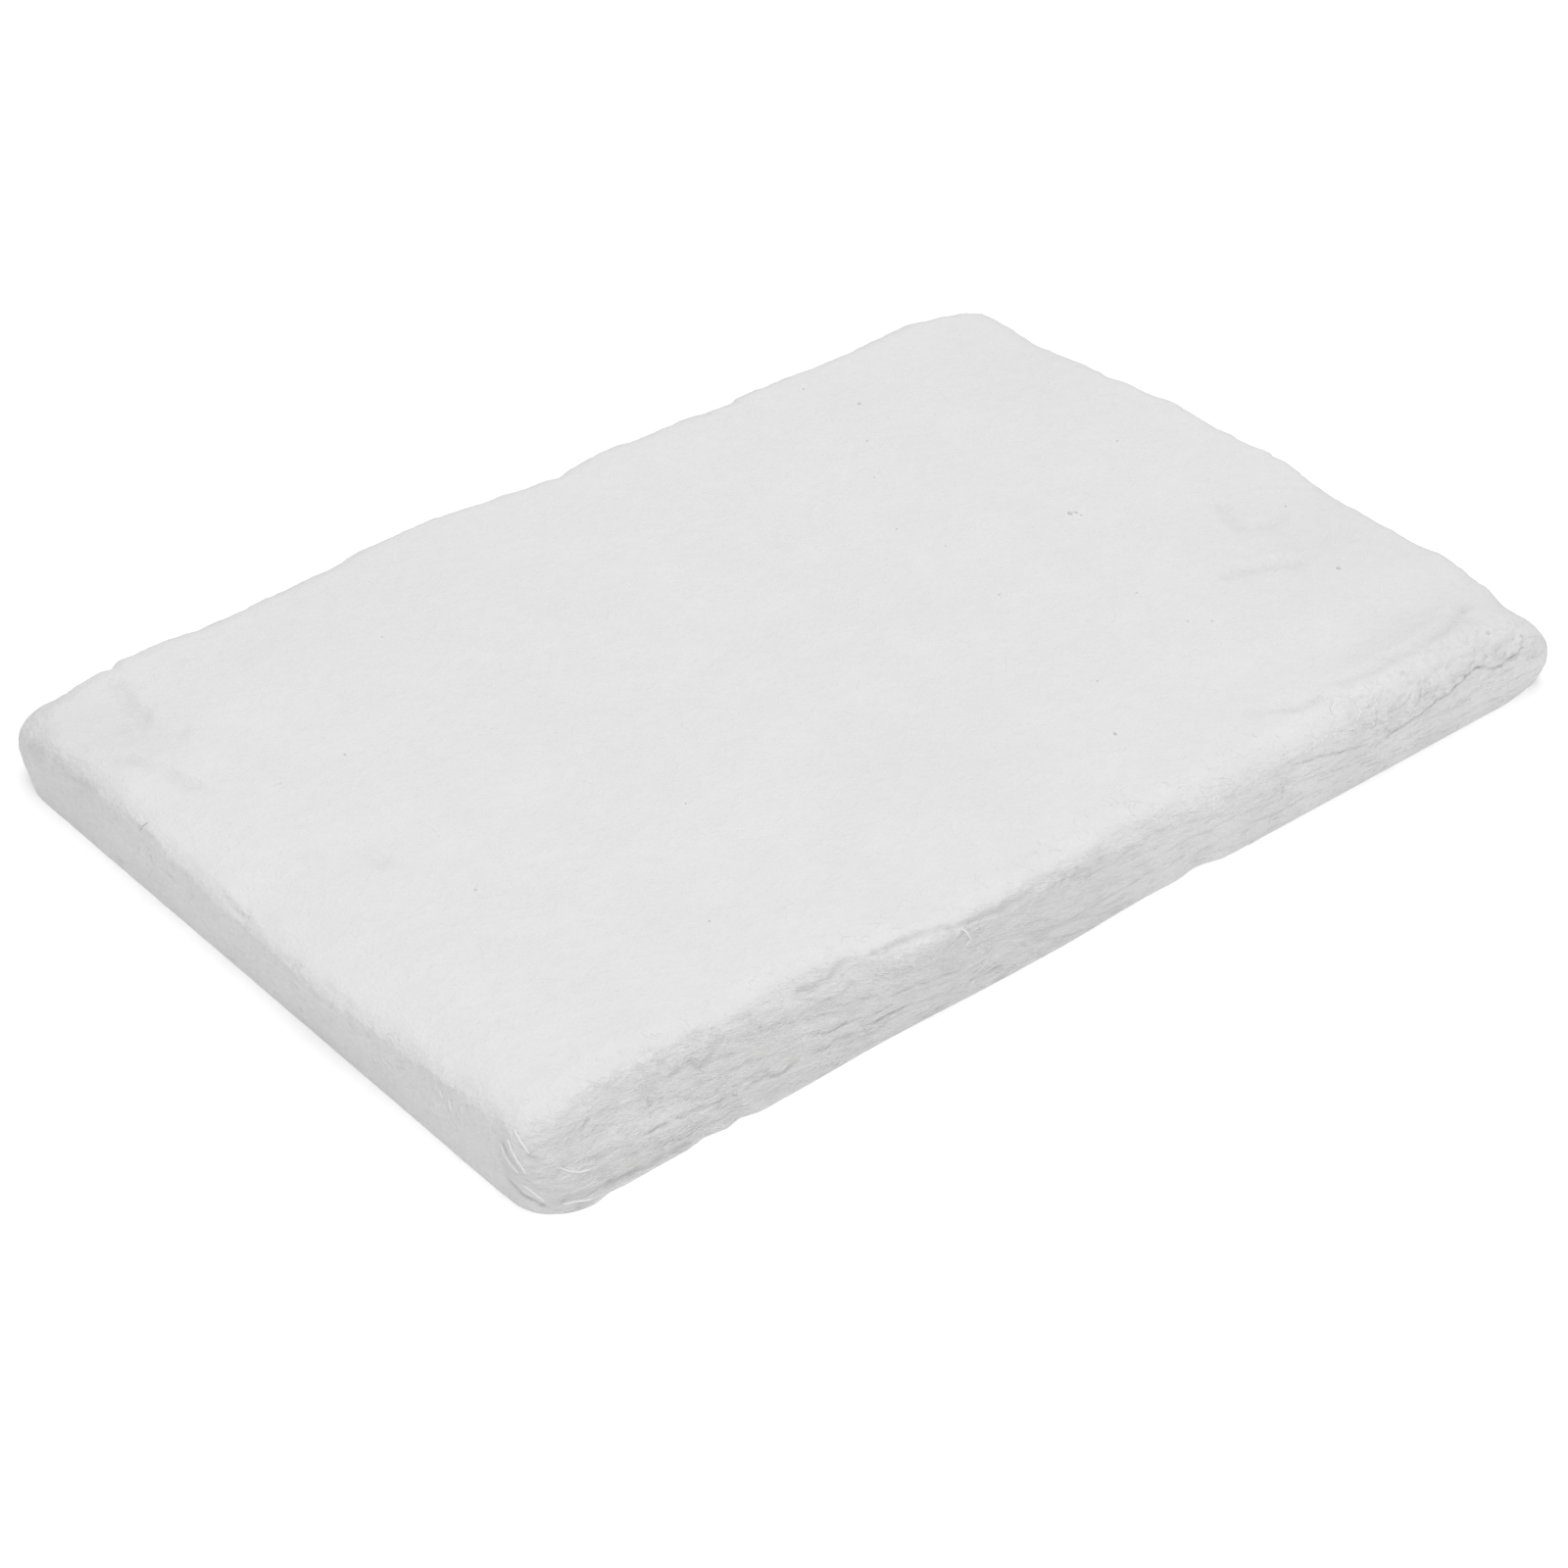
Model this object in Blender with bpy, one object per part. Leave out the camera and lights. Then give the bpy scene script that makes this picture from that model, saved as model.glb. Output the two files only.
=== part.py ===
"""A slab cut from needled ceramic fibre blanket, lying flat.

Metres, +Z up. The origin is in the middle of the underside. +X runs along the two long
sides. The long side at -Y is torn and leans back, the short side at -X is a knife cut, and
the other two sides are cut and a little wavy. The underside is flat.
"""

import math
from collections import namedtuple

import bmesh
import bpy
from mathutils import Vector

# Overall sizes of the cut piece
LENGTH = 0.300
WIDTH = 0.205
THICKNESS = 0.020

# Roundings
CORNER_RADIUS = 0.008
TOP_RIM_RADIUS = 0.006
BOTTOM_EDGE_RADIUS = 0.001

# A wave of a side dies away this far in from that side
WAVE_FADE = 0.045

# Size of the surface's cells, and how many steps each rounding has
CELL = 0.0075
CORNER_STEPS = 4
RIM_STEPS = 4
BOTTOM_STEPS = 2
SNAP = 0.00001

FIBRE_COLOUR = (0.86, 0.86, 0.85, 1.0)
FIBRE_ROUGHNESS = 0.95

# A wave moves a side's top rim outwards by push, or inwards where push is negative.
# Its place is a share of the half side, from -1 to 1, and its reach is half its length.
Wave = namedtuple("Wave", "place reach push")

TORN_SIDE_WAVES = (
    Wave(-0.80, 0.065, -0.0125),
    Wave(-0.47, 0.032, -0.0095),
    Wave(-0.20, 0.025, -0.0020),
    Wave(0.10, 0.075, -0.0042),
)
BACK_SIDE_WAVES = (
    Wave(-1.00, 0.034, -0.0070),
    Wave(-0.60, 0.012, -0.0012),
    Wave(-0.23, 0.034, 0.0023),
    Wave(0.03, 0.014, -0.0014),
    Wave(0.17, 0.014, 0.0010),
    Wave(0.42, 0.022, -0.0010),
    Wave(1.00, 0.026, -0.0050),
)
CUT_END_WAVES = (
    Wave(-1.00, 0.060, -0.0028),
    Wave(-0.24, 0.035, 0.0022),
    Wave(0.11, 0.014, 0.0012),
    Wave(0.65, 0.016, -0.0013),
    Wave(1.00, 0.020, -0.0040),
)
FAR_END_WAVES = (
    Wave(-1.00, 0.030, -0.0065),
    Wave(-0.08, 0.028, 0.0030),
    Wave(0.22, 0.024, 0.0028),
    Wave(1.00, 0.075, -0.0040),
)

# How a side's waves grow from its straight foot to its rim, as a power of the height:
# the torn side slopes back evenly, and a cut side stands upright until near its rim.
SLOPING = 1
UPRIGHT = 2

# A side knows the direction out of it, the direction along it and its half sizes
Side = namedtuple("Side", "out along half_across half_along waves growth")

ALONG_X = Vector((1, 0, 0))
ALONG_Y = Vector((0, 1, 0))
SIDES = (
    Side(-ALONG_Y, ALONG_X, WIDTH / 2, LENGTH / 2, TORN_SIDE_WAVES, SLOPING),
    Side(ALONG_Y, ALONG_X, WIDTH / 2, LENGTH / 2, BACK_SIDE_WAVES, UPRIGHT),
    Side(-ALONG_X, ALONG_Y, LENGTH / 2, WIDTH / 2, CUT_END_WAVES, UPRIGHT),
    Side(ALONG_X, ALONG_Y, LENGTH / 2, WIDTH / 2, FAR_END_WAVES, UPRIGHT),
)

# A swell lifts the top, or dents it where height is negative. Its place is a share of the
# half length and half width, and it reaches that far along X and along Y.
Swell = namedtuple("Swell", "place_x place_y reach_x reach_y height")

TOP_SWELLS = (
    Swell(0.78, -0.90, 0.040, 0.012, 0.0010),
    Swell(0.72, -0.74, 0.045, 0.014, -0.0010),
    Swell(-0.88, 0.76, 0.022, 0.026, -0.0012),
    Swell(-0.90, -0.10, 0.030, 0.040, -0.0006),
    Swell(-0.15, 0.20, 0.080, 0.060, -0.0004),
)


def clear_scene():
    """Remove everything that is in the scene."""
    for leftover in list(bpy.data.objects):
        bpy.data.objects.remove(leftover)


def smooth_step(share):
    """Rise from 0 to 1 with level ends as share goes from 0 to 1."""
    share = min(max(share, 0.0), 1.0)
    return share * share * (3.0 - 2.0 * share)


def hump(away):
    """A round hump: 1 in its middle and 0 from 1 outwards."""
    if away >= 1.0:
        return 0.0
    return 0.5 + 0.5 * math.cos(math.pi * away)


def block_mesh():
    """A plain block of the overall sizes, its underside on the floor."""
    mesh = bmesh.new()
    bmesh.ops.create_cube(mesh, size=1.0)
    bmesh.ops.scale(mesh, vec=(LENGTH, WIDTH, THICKNESS), verts=mesh.verts)
    bmesh.ops.translate(mesh, vec=(0.0, 0.0, THICKNESS / 2), verts=mesh.verts)
    return mesh


def round_edges(mesh, edges, radius, steps):
    """Round these edges with one bevel."""
    bmesh.ops.bevel(
        mesh,
        geom=edges,
        offset=radius,
        segments=steps,
        profile=0.5,
        affect="EDGES",
        material=-1,
    )


def upright_edges(mesh):
    """The four edges that stand at the block's corners."""
    return [e for e in mesh.edges if abs(e.verts[0].co.z - e.verts[1].co.z) > SNAP]


def edges_at_height(mesh, height):
    """The edges that lie at this height all along."""
    return [e for e in mesh.edges if all(abs(v.co.z - height) < SNAP for v in e.verts)]


def round_block(mesh):
    """Round the corners, then the top rim and the bottom edge."""
    round_edges(mesh, upright_edges(mesh), CORNER_RADIUS, CORNER_STEPS)
    round_edges(mesh, edges_at_height(mesh, THICKNESS), TOP_RIM_RADIUS, RIM_STEPS)
    round_edges(mesh, edges_at_height(mesh, 0.0), BOTTOM_EDGE_RADIUS, BOTTOM_STEPS)


def cut_across(mesh, place, direction):
    """Cut the whole surface by one plane, so that it can bend there."""
    everything = mesh.verts[:] + mesh.edges[:] + mesh.faces[:]
    bmesh.ops.bisect_plane(mesh, geom=everything, dist=SNAP, plane_co=place, plane_no=direction)


def cut_cells(mesh):
    """Cut even cells along both sides, and one level halfway up the upright wall."""
    for direction, size in ((ALONG_X, LENGTH), (ALONG_Y, WIDTH)):
        straight = size - 2 * CORNER_RADIUS
        count = max(1, round(straight / CELL))
        for step in range(count + 1):
            cut_across(mesh, direction * (step / count - 0.5) * straight, direction)
    wall_middle = (BOTTOM_EDGE_RADIUS + THICKNESS - TOP_RIM_RADIUS) / 2
    cut_across(mesh, Vector((0, 0, wall_middle)), Vector((0, 0, 1)))


def join_underside(mesh):
    """Make the flat underside one face."""
    under = [f for f in mesh.faces if all(abs(v.co.z) < SNAP for v in f.verts)]
    bmesh.ops.dissolve_faces(mesh, faces=under, use_verts=True)


def side_push(side, point):
    """How far a side's waves move this point out of that side."""
    along = point.dot(side.along)
    inwards = side.half_across - point.dot(side.out)
    push = 0.0
    for wave in side.waves:
        away = abs(along - wave.place * side.half_along) / wave.reach
        push += wave.push * hump(away)
    fade_in = 1.0 - smooth_step(inwards / WAVE_FADE)
    fade_down = (point.z / THICKNESS) ** side.growth
    return push * fade_in * fade_down


def top_lift(point):
    """How far the top's swells lift this point."""
    lift = 0.0
    for swell in TOP_SWELLS:
        away_x = (point.x - swell.place_x * LENGTH / 2) / swell.reach_x
        away_y = (point.y - swell.place_y * WIDTH / 2) / swell.reach_y
        lift += swell.height * hump(math.hypot(away_x, away_y))
    return lift * point.z / THICKNESS


def shape_slab(mesh):
    """Move every point by the waves of the four sides and by the swells of the top."""
    for vert in mesh.verts:
        start = vert.co.copy()
        for side in SIDES:
            vert.co += side.out * side_push(side, start)
        vert.co.z += top_lift(start)


def fibre_material():
    """White matt ceramic fibre."""
    material = bpy.data.materials.new("ceramic_fibre")
    material.use_nodes = True
    shader = material.node_tree.nodes["Principled BSDF"]
    shader.inputs["Base Color"].default_value = FIBRE_COLOUR
    shader.inputs["Roughness"].default_value = FIBRE_ROUGHNESS
    shader.inputs["Metallic"].default_value = 0.0
    material.diffuse_color = FIBRE_COLOUR
    return material


def fibre_slab(collection):
    """The slab, one piece of fibre blanket."""
    mesh = block_mesh()
    round_block(mesh)
    cut_cells(mesh)
    join_underside(mesh)
    shape_slab(mesh)
    bmesh.ops.recalc_face_normals(mesh, faces=mesh.faces)
    data = bpy.data.meshes.new("fibre_slab")
    mesh.to_mesh(data)
    mesh.free()
    data.shade_smooth()
    data.set_sharp_from_angle(angle=math.radians(60))
    data.materials.append(fibre_material())
    slab = bpy.data.objects.new("fibre_slab", data)
    collection.objects.link(slab)
    return slab


def main():
    clear_scene()
    collection = bpy.data.collections.new("ceramic_fibre_blanket_slab")
    bpy.context.scene.collection.children.link(collection)
    fibre_slab(collection)


main()
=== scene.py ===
"""The finish of a slab cut from needled ceramic fibre blanket, lying on a pale floor.

Metres, +Z up, in the frame's own axes: +X along the long sides, -Y the torn long side with
its layers open, -X the knife-cut end. One fine skin stands for the plain solid. Marks whose
place shows in the photograph are given by its pixels, and laid on the slab along the view.
"""

import logging
import math
import random
from collections.abc import Callable
from dataclasses import dataclass
from enum import Enum

import bmesh
import bpy
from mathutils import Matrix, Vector, noise
from mathutils.bvhtree import BVHTree
from mathutils.kdtree import KDTree


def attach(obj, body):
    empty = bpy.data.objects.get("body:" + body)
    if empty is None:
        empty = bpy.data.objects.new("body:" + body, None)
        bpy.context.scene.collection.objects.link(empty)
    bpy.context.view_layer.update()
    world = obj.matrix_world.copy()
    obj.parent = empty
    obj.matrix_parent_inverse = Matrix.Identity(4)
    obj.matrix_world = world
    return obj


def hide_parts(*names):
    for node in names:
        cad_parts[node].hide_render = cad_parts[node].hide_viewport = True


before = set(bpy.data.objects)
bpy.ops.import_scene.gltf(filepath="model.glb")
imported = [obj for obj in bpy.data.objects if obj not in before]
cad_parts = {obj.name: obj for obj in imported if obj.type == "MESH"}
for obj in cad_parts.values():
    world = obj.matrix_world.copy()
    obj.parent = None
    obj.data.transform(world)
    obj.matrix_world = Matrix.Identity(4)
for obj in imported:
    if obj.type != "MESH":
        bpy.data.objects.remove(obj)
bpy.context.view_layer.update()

LOG = logging.getLogger("fibre_slab")
NODE = "fibre_slab"
BODY = "root"
MM = 0.001
SNAP = 0.00001
FIBRE_TIP = 0.45

Pixel = tuple[float, float]


def smooth_step(share: float) -> float:
    """Rise from 0 to 1 with level ends.

    Args:
        share: Where between the ends, clamped to 0 and 1.

    Returns:
        The risen share.
    """
    share = min(max(share, 0.0), 1.0)
    return share * share * (3.0 - 2.0 * share)


def hump(away: float) -> float:
    """Give a round hump.

    Args:
        away: Distance from its middle, as a share of its reach.

    Returns:
        1 in the middle, 0 from the reach outwards.
    """
    return 0.5 + 0.5 * math.cos(math.pi * away) if away < 1.0 else 0.0


def between(start: Pixel, end: Pixel, share: float) -> Pixel:
    """Return the pixel that lies a share of the way from one to another."""
    return start[0] + (end[0] - start[0]) * share, start[1] + (end[1] - start[1]) * share


def add_object(name: str, data: bpy.types.ID) -> bpy.types.Object:
    """Put some data into the scene as an object.

    Args:
        name: The object's name.
        data: Its mesh, curve, lamp or camera.

    Returns:
        The object.
    """
    made = bpy.data.objects.new(name, data)
    bpy.context.scene.collection.objects.link(made)
    return made


def finished_mesh(name: str, mesh: bmesh.types.BMesh) -> bpy.types.Mesh:
    """Turn a working mesh into mesh data, and free it.

    Args:
        name: The data's name.
        mesh: The working mesh.

    Returns:
        The mesh data.
    """
    data = bpy.data.meshes.new(name)
    mesh.to_mesh(data)
    mesh.free()
    return data


def swirl(point: Vector, along: float, upward: float, lane: float) -> float:
    """Read a smooth noise that lies in flat sheets, as the blanket's layers do.

    Args:
        point: Where it is read.
        along: Length of one swing in the plane of the layers.
        upward: Length of one swing through the thickness.
        lane: Which of many unlike noises.

    Returns:
        A value around 0, mostly within -0.6 and 0.6.
    """
    return noise.noise(Vector((point.x / along + lane, point.y / along, point.z / upward)))


@dataclass(frozen=True)
class PhotoView:
    """Where the photograph was taken from, and how to look through one of its pixels."""

    place: tuple[float, float, float] = (-0.48023, -0.56818, 0.51722)
    azimuth: float = math.radians(-40.09)
    elevation: float = math.radians(35.70)
    lens: float = 88.92
    sensor: float = 36.0
    pixels: int = 1600

    def axes(self) -> tuple[Vector, Vector, Vector]:
        """Work out the picture's own directions.

        Returns:
            The directions to the right, upwards and back out of the picture.
        """
        right = Vector((math.cos(self.azimuth), math.sin(self.azimuth), 0.0))
        level = Vector((right.y, -right.x, 0.0))
        back = level * math.cos(self.elevation) + Vector((0.0, 0.0, math.sin(self.elevation)))
        return right, back.cross(right), back

    def ray(self, pixel: Pixel) -> Vector:
        """Return the direction in which a pixel of the photograph looks.

        Args:
            pixel: Column and row, from the photograph's upper left corner.

        Returns:
            A direction of length 1.
        """
        right, up, back = self.axes()
        focal = self.lens / self.sensor * self.pixels
        across = (pixel[0] - self.pixels / 2) / focal
        upward = (self.pixels / 2 - pixel[1]) / focal
        return (right * across + up * upward - back).normalized()

    def on(self, surface: BVHTree, pixel: Pixel) -> tuple[Vector, Vector] | None:
        """Say where a pixel of the photograph meets a surface.

        Args:
            surface: The surface.
            pixel: Column and row.

        Returns:
            The point and the way out of the surface there, or None beside the surface.
        """
        place, normal, _, _ = surface.ray_cast(Vector(self.place), self.ray(pixel))
        return None if place is None else (place, normal)

    def stand_camera(self) -> None:
        """Stand the camera where the photograph was taken from."""
        data = bpy.data.cameras.new("camera")
        data.lens = self.lens
        data.sensor_width = self.sensor
        camera = add_object("camera", data)
        camera.location = self.place
        camera.rotation_euler = (math.pi / 2 - self.elevation, 0.0, self.azimuth)
        bpy.context.scene.camera = camera


class Growth(Enum):
    """How a side's waves grow from its foot to its rim, as a power of the height."""

    SLOPING = 1
    UPRIGHT = 2


@dataclass(frozen=True)
class Wave:
    """A wave of one side. Place is a share of the half side, from -1 to 1."""

    place: float
    reach: float
    push: float


@dataclass(frozen=True)
class Swell:
    """A rise or dent of the top. Place is a share of the half length and width."""

    place_x: float
    place_y: float
    reach_x: float
    reach_y: float
    height: float


@dataclass(frozen=True)
class Side:
    """One of the four sides: the way out of it, the way along it and its waves."""

    out: Vector
    along: Vector
    half_across: float
    half_along: float
    rim_waves: tuple[Wave, ...]
    growth: Growth
    foot_waves: tuple[Wave, ...] = ()

    def total(self, waves: tuple[Wave, ...], along: float) -> float:
        """Add up waves at a place along the side.

        Args:
            waves: The rim's or the foot's waves.
            along: The place.

        Returns:
            The outward move in metres.
        """
        return sum(w.push * hump(abs(along - w.place * self.half_along) / w.reach) for w in waves)

    def push(self, point: Vector, thickness: float, fade: float) -> float:
        """Say how far this side's waves move a point outwards.

        Args:
            point: A point of the rounded block.
            thickness: The slab's thickness.
            fade: How far in from the side its waves die away.

        Returns:
            The outward move in metres.
        """
        inwards = self.half_across - point.dot(self.out)
        if inwards >= fade:
            return 0.0
        along = point.dot(self.along)
        height = point.z / thickness
        grown = self.total(self.rim_waves, along) * height**self.growth.value
        grown += self.total(self.foot_waves, along) * (1.0 - height) ** 2
        return grown * (1.0 - smooth_step(inwards / fade))


@dataclass(frozen=True)
class Nose:
    """A soft corner that bulges halfway up and is drawn in at its foot."""

    corner: tuple[int, int]
    reach: float
    bulge: float
    tuck: float

    def push(self, point: Vector, half_x: float, half_y: float, height: float) -> Vector:
        """Say how the corner moves a point.

        Args:
            point: A point of the rounded block.
            half_x: The slab's half length.
            half_y: The slab's half width.
            height: The point's height, as a share of the thickness.

        Returns:
            The move in metres.
        """
        tip = Vector((self.corner[0] * half_x, self.corner[1] * half_y, point.z))
        near = hump((point - tip).length / self.reach)
        out = Vector((self.corner[0], self.corner[1], 0.0)).normalized()
        swollen = self.bulge * math.sin(math.pi * height)
        return out * near * (swollen - self.tuck * (1.0 - height) ** 2)


TORN_RIM_WAVES = (
    Wave(-0.80, 0.065, -0.0125),
    Wave(-0.47, 0.032, -0.0095),
    Wave(-0.20, 0.025, -0.0020),
    Wave(0.10, 0.075, -0.0042),
)

TORN_FOOT_WAVES = (
    Wave(-0.76, 0.024, -0.0003),
    Wave(-0.920, 0.006, 0.0006),
    Wave(-0.890, 0.005, -0.0004),
    Wave(-0.38, 0.036, -0.0006),
    Wave(-0.72, 0.006, -0.0008),
    Wave(-0.66, 0.005, -0.0010),
    Wave(0.12, 0.030, -0.0010),
    Wave(0.22, 0.008, -0.0012),
)

BACK_RIM_WAVES = (
    Wave(-1.00, 0.034, -0.0070),
    Wave(-0.60, 0.012, -0.0012),
    Wave(-0.23, 0.034, 0.0023),
    Wave(0.03, 0.014, -0.0014),
    Wave(0.17, 0.014, 0.0010),
    Wave(0.42, 0.022, -0.0010),
    Wave(1.00, 0.026, -0.0050),
    Wave(-0.82, 0.0035, -0.0016),
    Wave(0.05, 0.0040, -0.0011),
    Wave(0.42, 0.0040, -0.0009),
    Wave(-0.73, 0.045, -0.0012),
    Wave(-0.52, 0.025, -0.0009),
    Wave(0.66, 0.030, -0.0010),
)

CUT_END_WAVES = (
    Wave(-1.00, 0.060, -0.0028),
    Wave(-0.24, 0.035, 0.0022),
    Wave(0.11, 0.014, 0.0012),
    Wave(0.65, 0.016, -0.0013),
    Wave(1.00, 0.020, -0.0040),
)

FAR_END_WAVES = (
    Wave(-1.00, 0.030, -0.0065),
    Wave(-0.08, 0.028, 0.0030),
    Wave(0.22, 0.024, 0.0028),
    Wave(1.00, 0.075, -0.0040),
    Wave(0.45, 0.0045, -0.0009),
    Wave(-0.06, 0.0040, 0.0010),
    Wave(-0.77, 0.0050, -0.0011),
    Wave(0.66, 0.024, -0.0012),
    Wave(-0.76, 0.024, -0.0003),
)

NOSES = (
    Nose((1, -1), 0.018, 0.0022, 0.0025),
    Nose((-1, 1), 0.020, 0.0026, 0.0016),
    Nose((-1, -1), 0.016, 0.0008, 0.0008),
)

SWELLS = (
    Swell(0.78, -0.90, 0.040, 0.012, 0.0010),
    Swell(0.72, -0.74, 0.045, 0.014, -0.0010),
    Swell(-0.88, 0.76, 0.022, 0.026, -0.0012),
    Swell(-0.90, -0.10, 0.030, 0.040, -0.0006),
    Swell(-0.15, 0.20, 0.080, 0.060, -0.0004),
    Swell(-0.73, 0.92, 0.050, 0.030, -0.0008),
    Swell(0.97, 0.66, 0.020, 0.024, -0.0005),
    Swell(0.97, -0.80, 0.022, 0.024, -0.0002),
    Swell(-0.97, 0.97, 0.020, 0.020, -0.0010),
    Swell(-1.00, -0.15, 0.022, 0.100, -0.0028),
)

FOOT_CORNER_RADII = {
    (1, -1): 0.0035,
    (-1, -1): 0.0095,
    (-1, 1): 0.0155,
    (1, 1): 0.0080,
}


@dataclass
class SlabForm:
    """The slab's main form: the waves and swells of the frame's solid, finer ones and noses.

    The rim is rounder where wool has worked loose, and pressed flatter over the knife-cut end.
    """

    thickness: float = 0.020
    rim_radius: float = 0.006
    loose_extra: float = 0.0035
    loose_depth: float = 0.020
    loose_fade: float = 0.008
    loose_growth: float = 0.080
    pressed_inwards: float = 0.0025
    pressed_upwards: float = -0.0015
    pressed_depth: float = 0.014
    pressed_fade: float = 0.004
    pressed_half: float = 0.075
    pressed_end_fade: float = 0.015
    solid_foot_radius: float = 0.001
    foot_radius: float = 0.0003
    top_corner_radius: float = 0.008
    wave_fade: float = 0.045

    def __post_init__(self) -> None:
        """Read the slab's length and width from the flat underside of the frame's solid."""
        foot = [v.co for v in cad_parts[NODE].data.vertices if v.co.z < SNAP]
        self.half_x = max(co.x for co in foot) + self.solid_foot_radius
        self.half_y = max(co.y for co in foot) + self.solid_foot_radius
        self.sides = self.make_sides()

    def make_sides(self) -> tuple[Side, ...]:
        """Put the waves on the four sides.

        Returns:
            The torn side, the back, the knife-cut end and the far end.
        """
        along_x, along_y = Vector((1, 0, 0)), Vector((0, 1, 0))
        x, y = self.half_x, self.half_y
        return (
            Side(-along_y, along_x, y, x, TORN_RIM_WAVES, Growth.SLOPING, TORN_FOOT_WAVES),
            Side(along_y, along_x, y, x, BACK_RIM_WAVES, Growth.UPRIGHT),
            Side(-along_x, along_y, x, y, CUT_END_WAVES, Growth.UPRIGHT),
            Side(along_x, along_y, x, y, FAR_END_WAVES, Growth.UPRIGHT),
        )

    def depth(self, point: Vector) -> float:
        """Say how far in from the nearest side a point of the plain block lies."""
        return min(self.half_x - abs(point.x), self.half_y - abs(point.y))

    def rim_rounding(self, point: Vector) -> tuple[float, float]:
        """Say how far the rim's rounding reaches inwards and down.

        Args:
            point: A point of the plain block.

        Returns:
            The two reaches.
        """
        torn = smooth_step((self.loose_depth - self.half_y - point.y) / self.loose_fade)
        loose = self.loose_extra * torn * smooth_step(point.x / self.loose_growth)
        pressed = smooth_step((self.pressed_depth - self.half_x - point.x) / self.pressed_fade)
        pressed *= 1.0 - smooth_step((abs(point.y) - self.pressed_half) / self.pressed_end_fade)
        radius = self.rim_radius + loose
        return radius + self.pressed_inwards * pressed, radius + self.pressed_upwards * pressed

    def round_section(
        self, depth: float, height: float, rim: tuple[float, float]
    ) -> tuple[float, float]:
        """Round the rim and the foot in a section across a side.

        Args:
            depth: How far in from the side the point lies on the plain block.
            height: Its height there.
            rim: How far the rim's rounding reaches inwards and down there.

        Returns:
            Depth and height on the rounded block.
        """
        rim_in = 1.0 - depth / rim[0]
        rim_up = 1.0 - (self.thickness - height) / rim[1]
        if rim_in > 0.0 and rim_up > 0.0:
            scale = max(rim_in, rim_up) / math.hypot(rim_in, rim_up)
            return (
                rim[0] * (1.0 - rim_in * scale),
                self.thickness - rim[1] * (1.0 - rim_up * scale),
            )
        foot_in = self.foot_radius - depth
        foot_down = self.foot_radius - height
        if foot_in > 0.0 and foot_down > 0.0:
            scale = max(foot_in, foot_down) / math.hypot(foot_in, foot_down)
            return self.foot_radius - foot_in * scale, self.foot_radius - foot_down * scale
        return depth, height

    def rounded(self, point: Vector) -> Vector:
        """Move a point of the plain block onto the block with rounded rim, foot and corners.

        Args:
            point: A point of the plain block's surface.

        Returns:
            Its place on the rounded block.
        """
        depth, height = self.round_section(self.depth(point), point.z, self.rim_rounding(point))
        corner = (1 if point.x > 0 else -1, 1 if point.y > 0 else -1)
        foot_radius = FOOT_CORNER_RADII[corner]
        grown = smooth_step(height / self.thickness)
        radius = foot_radius + (self.top_corner_radius - foot_radius) * grown
        x, y = abs(point.x), abs(point.y)
        past_x = x - (self.half_x - radius)
        past_y = y - (self.half_y - radius)
        if past_x > 0.0 and past_y > 0.0:
            scale = (radius - depth) / math.hypot(past_x, past_y)
            x = self.half_x - radius + past_x * scale
            y = self.half_y - radius + past_y * scale
        elif past_x > 0.0 and past_x >= past_y:
            x = self.half_x - depth
        elif past_y > 0.0:
            y = self.half_y - depth
        return Vector((math.copysign(x, point.x), math.copysign(y, point.y), height))

    def shaped(self, point: Vector) -> Vector:
        """Move a point of the rounded block by the waves of the sides and swells of the top.

        Args:
            point: A point of the rounded block.

        Returns:
            Its place on the slab's main form.
        """
        moved = point.copy()
        for side in self.sides:
            moved += side.out * side.push(point, self.thickness, self.wave_fade)
        for nose in NOSES:
            moved += nose.push(point, self.half_x, self.half_y, point.z / self.thickness)
        lift = 0.0
        for swell in SWELLS:
            away_x = (point.x - swell.place_x * self.half_x) / swell.reach_x
            away_y = (point.y - swell.place_y * self.half_y) / swell.reach_y
            lift += swell.height * hump(math.hypot(away_x, away_y))
        moved.z += lift * point.z / self.thickness
        return moved


@dataclass(frozen=True)
class Profile:
    """The section across a mark: its depth and width, how much painted shade darkens it, and the
    lip beside it.
    """

    depth: float
    width: float
    shade: float
    lip: float
    lip_reach: float
    lip_middle: float = 0.4
    lip_half: float = 0.9

    def at(self, across: float, side: int) -> tuple[float, float]:
        """Say how far the felt moves out beside or in the mark, and how grey it is.

        Args:
            across: Distance from the mark's middle line, upwards in the picture.
            side: 1 where the lip is above the mark, -1 where it is below.

        Returns:
            The outward move in metres and the share of painted shade.
        """
        inside = math.exp(-((across / self.width) ** 2))
        move = -self.depth * inside
        past = across * side - self.width
        if past > 0.0:
            move += self.lip * hump(abs(past / self.lip_reach - self.lip_middle) / self.lip_half)
        return move, self.shade * inside


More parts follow.
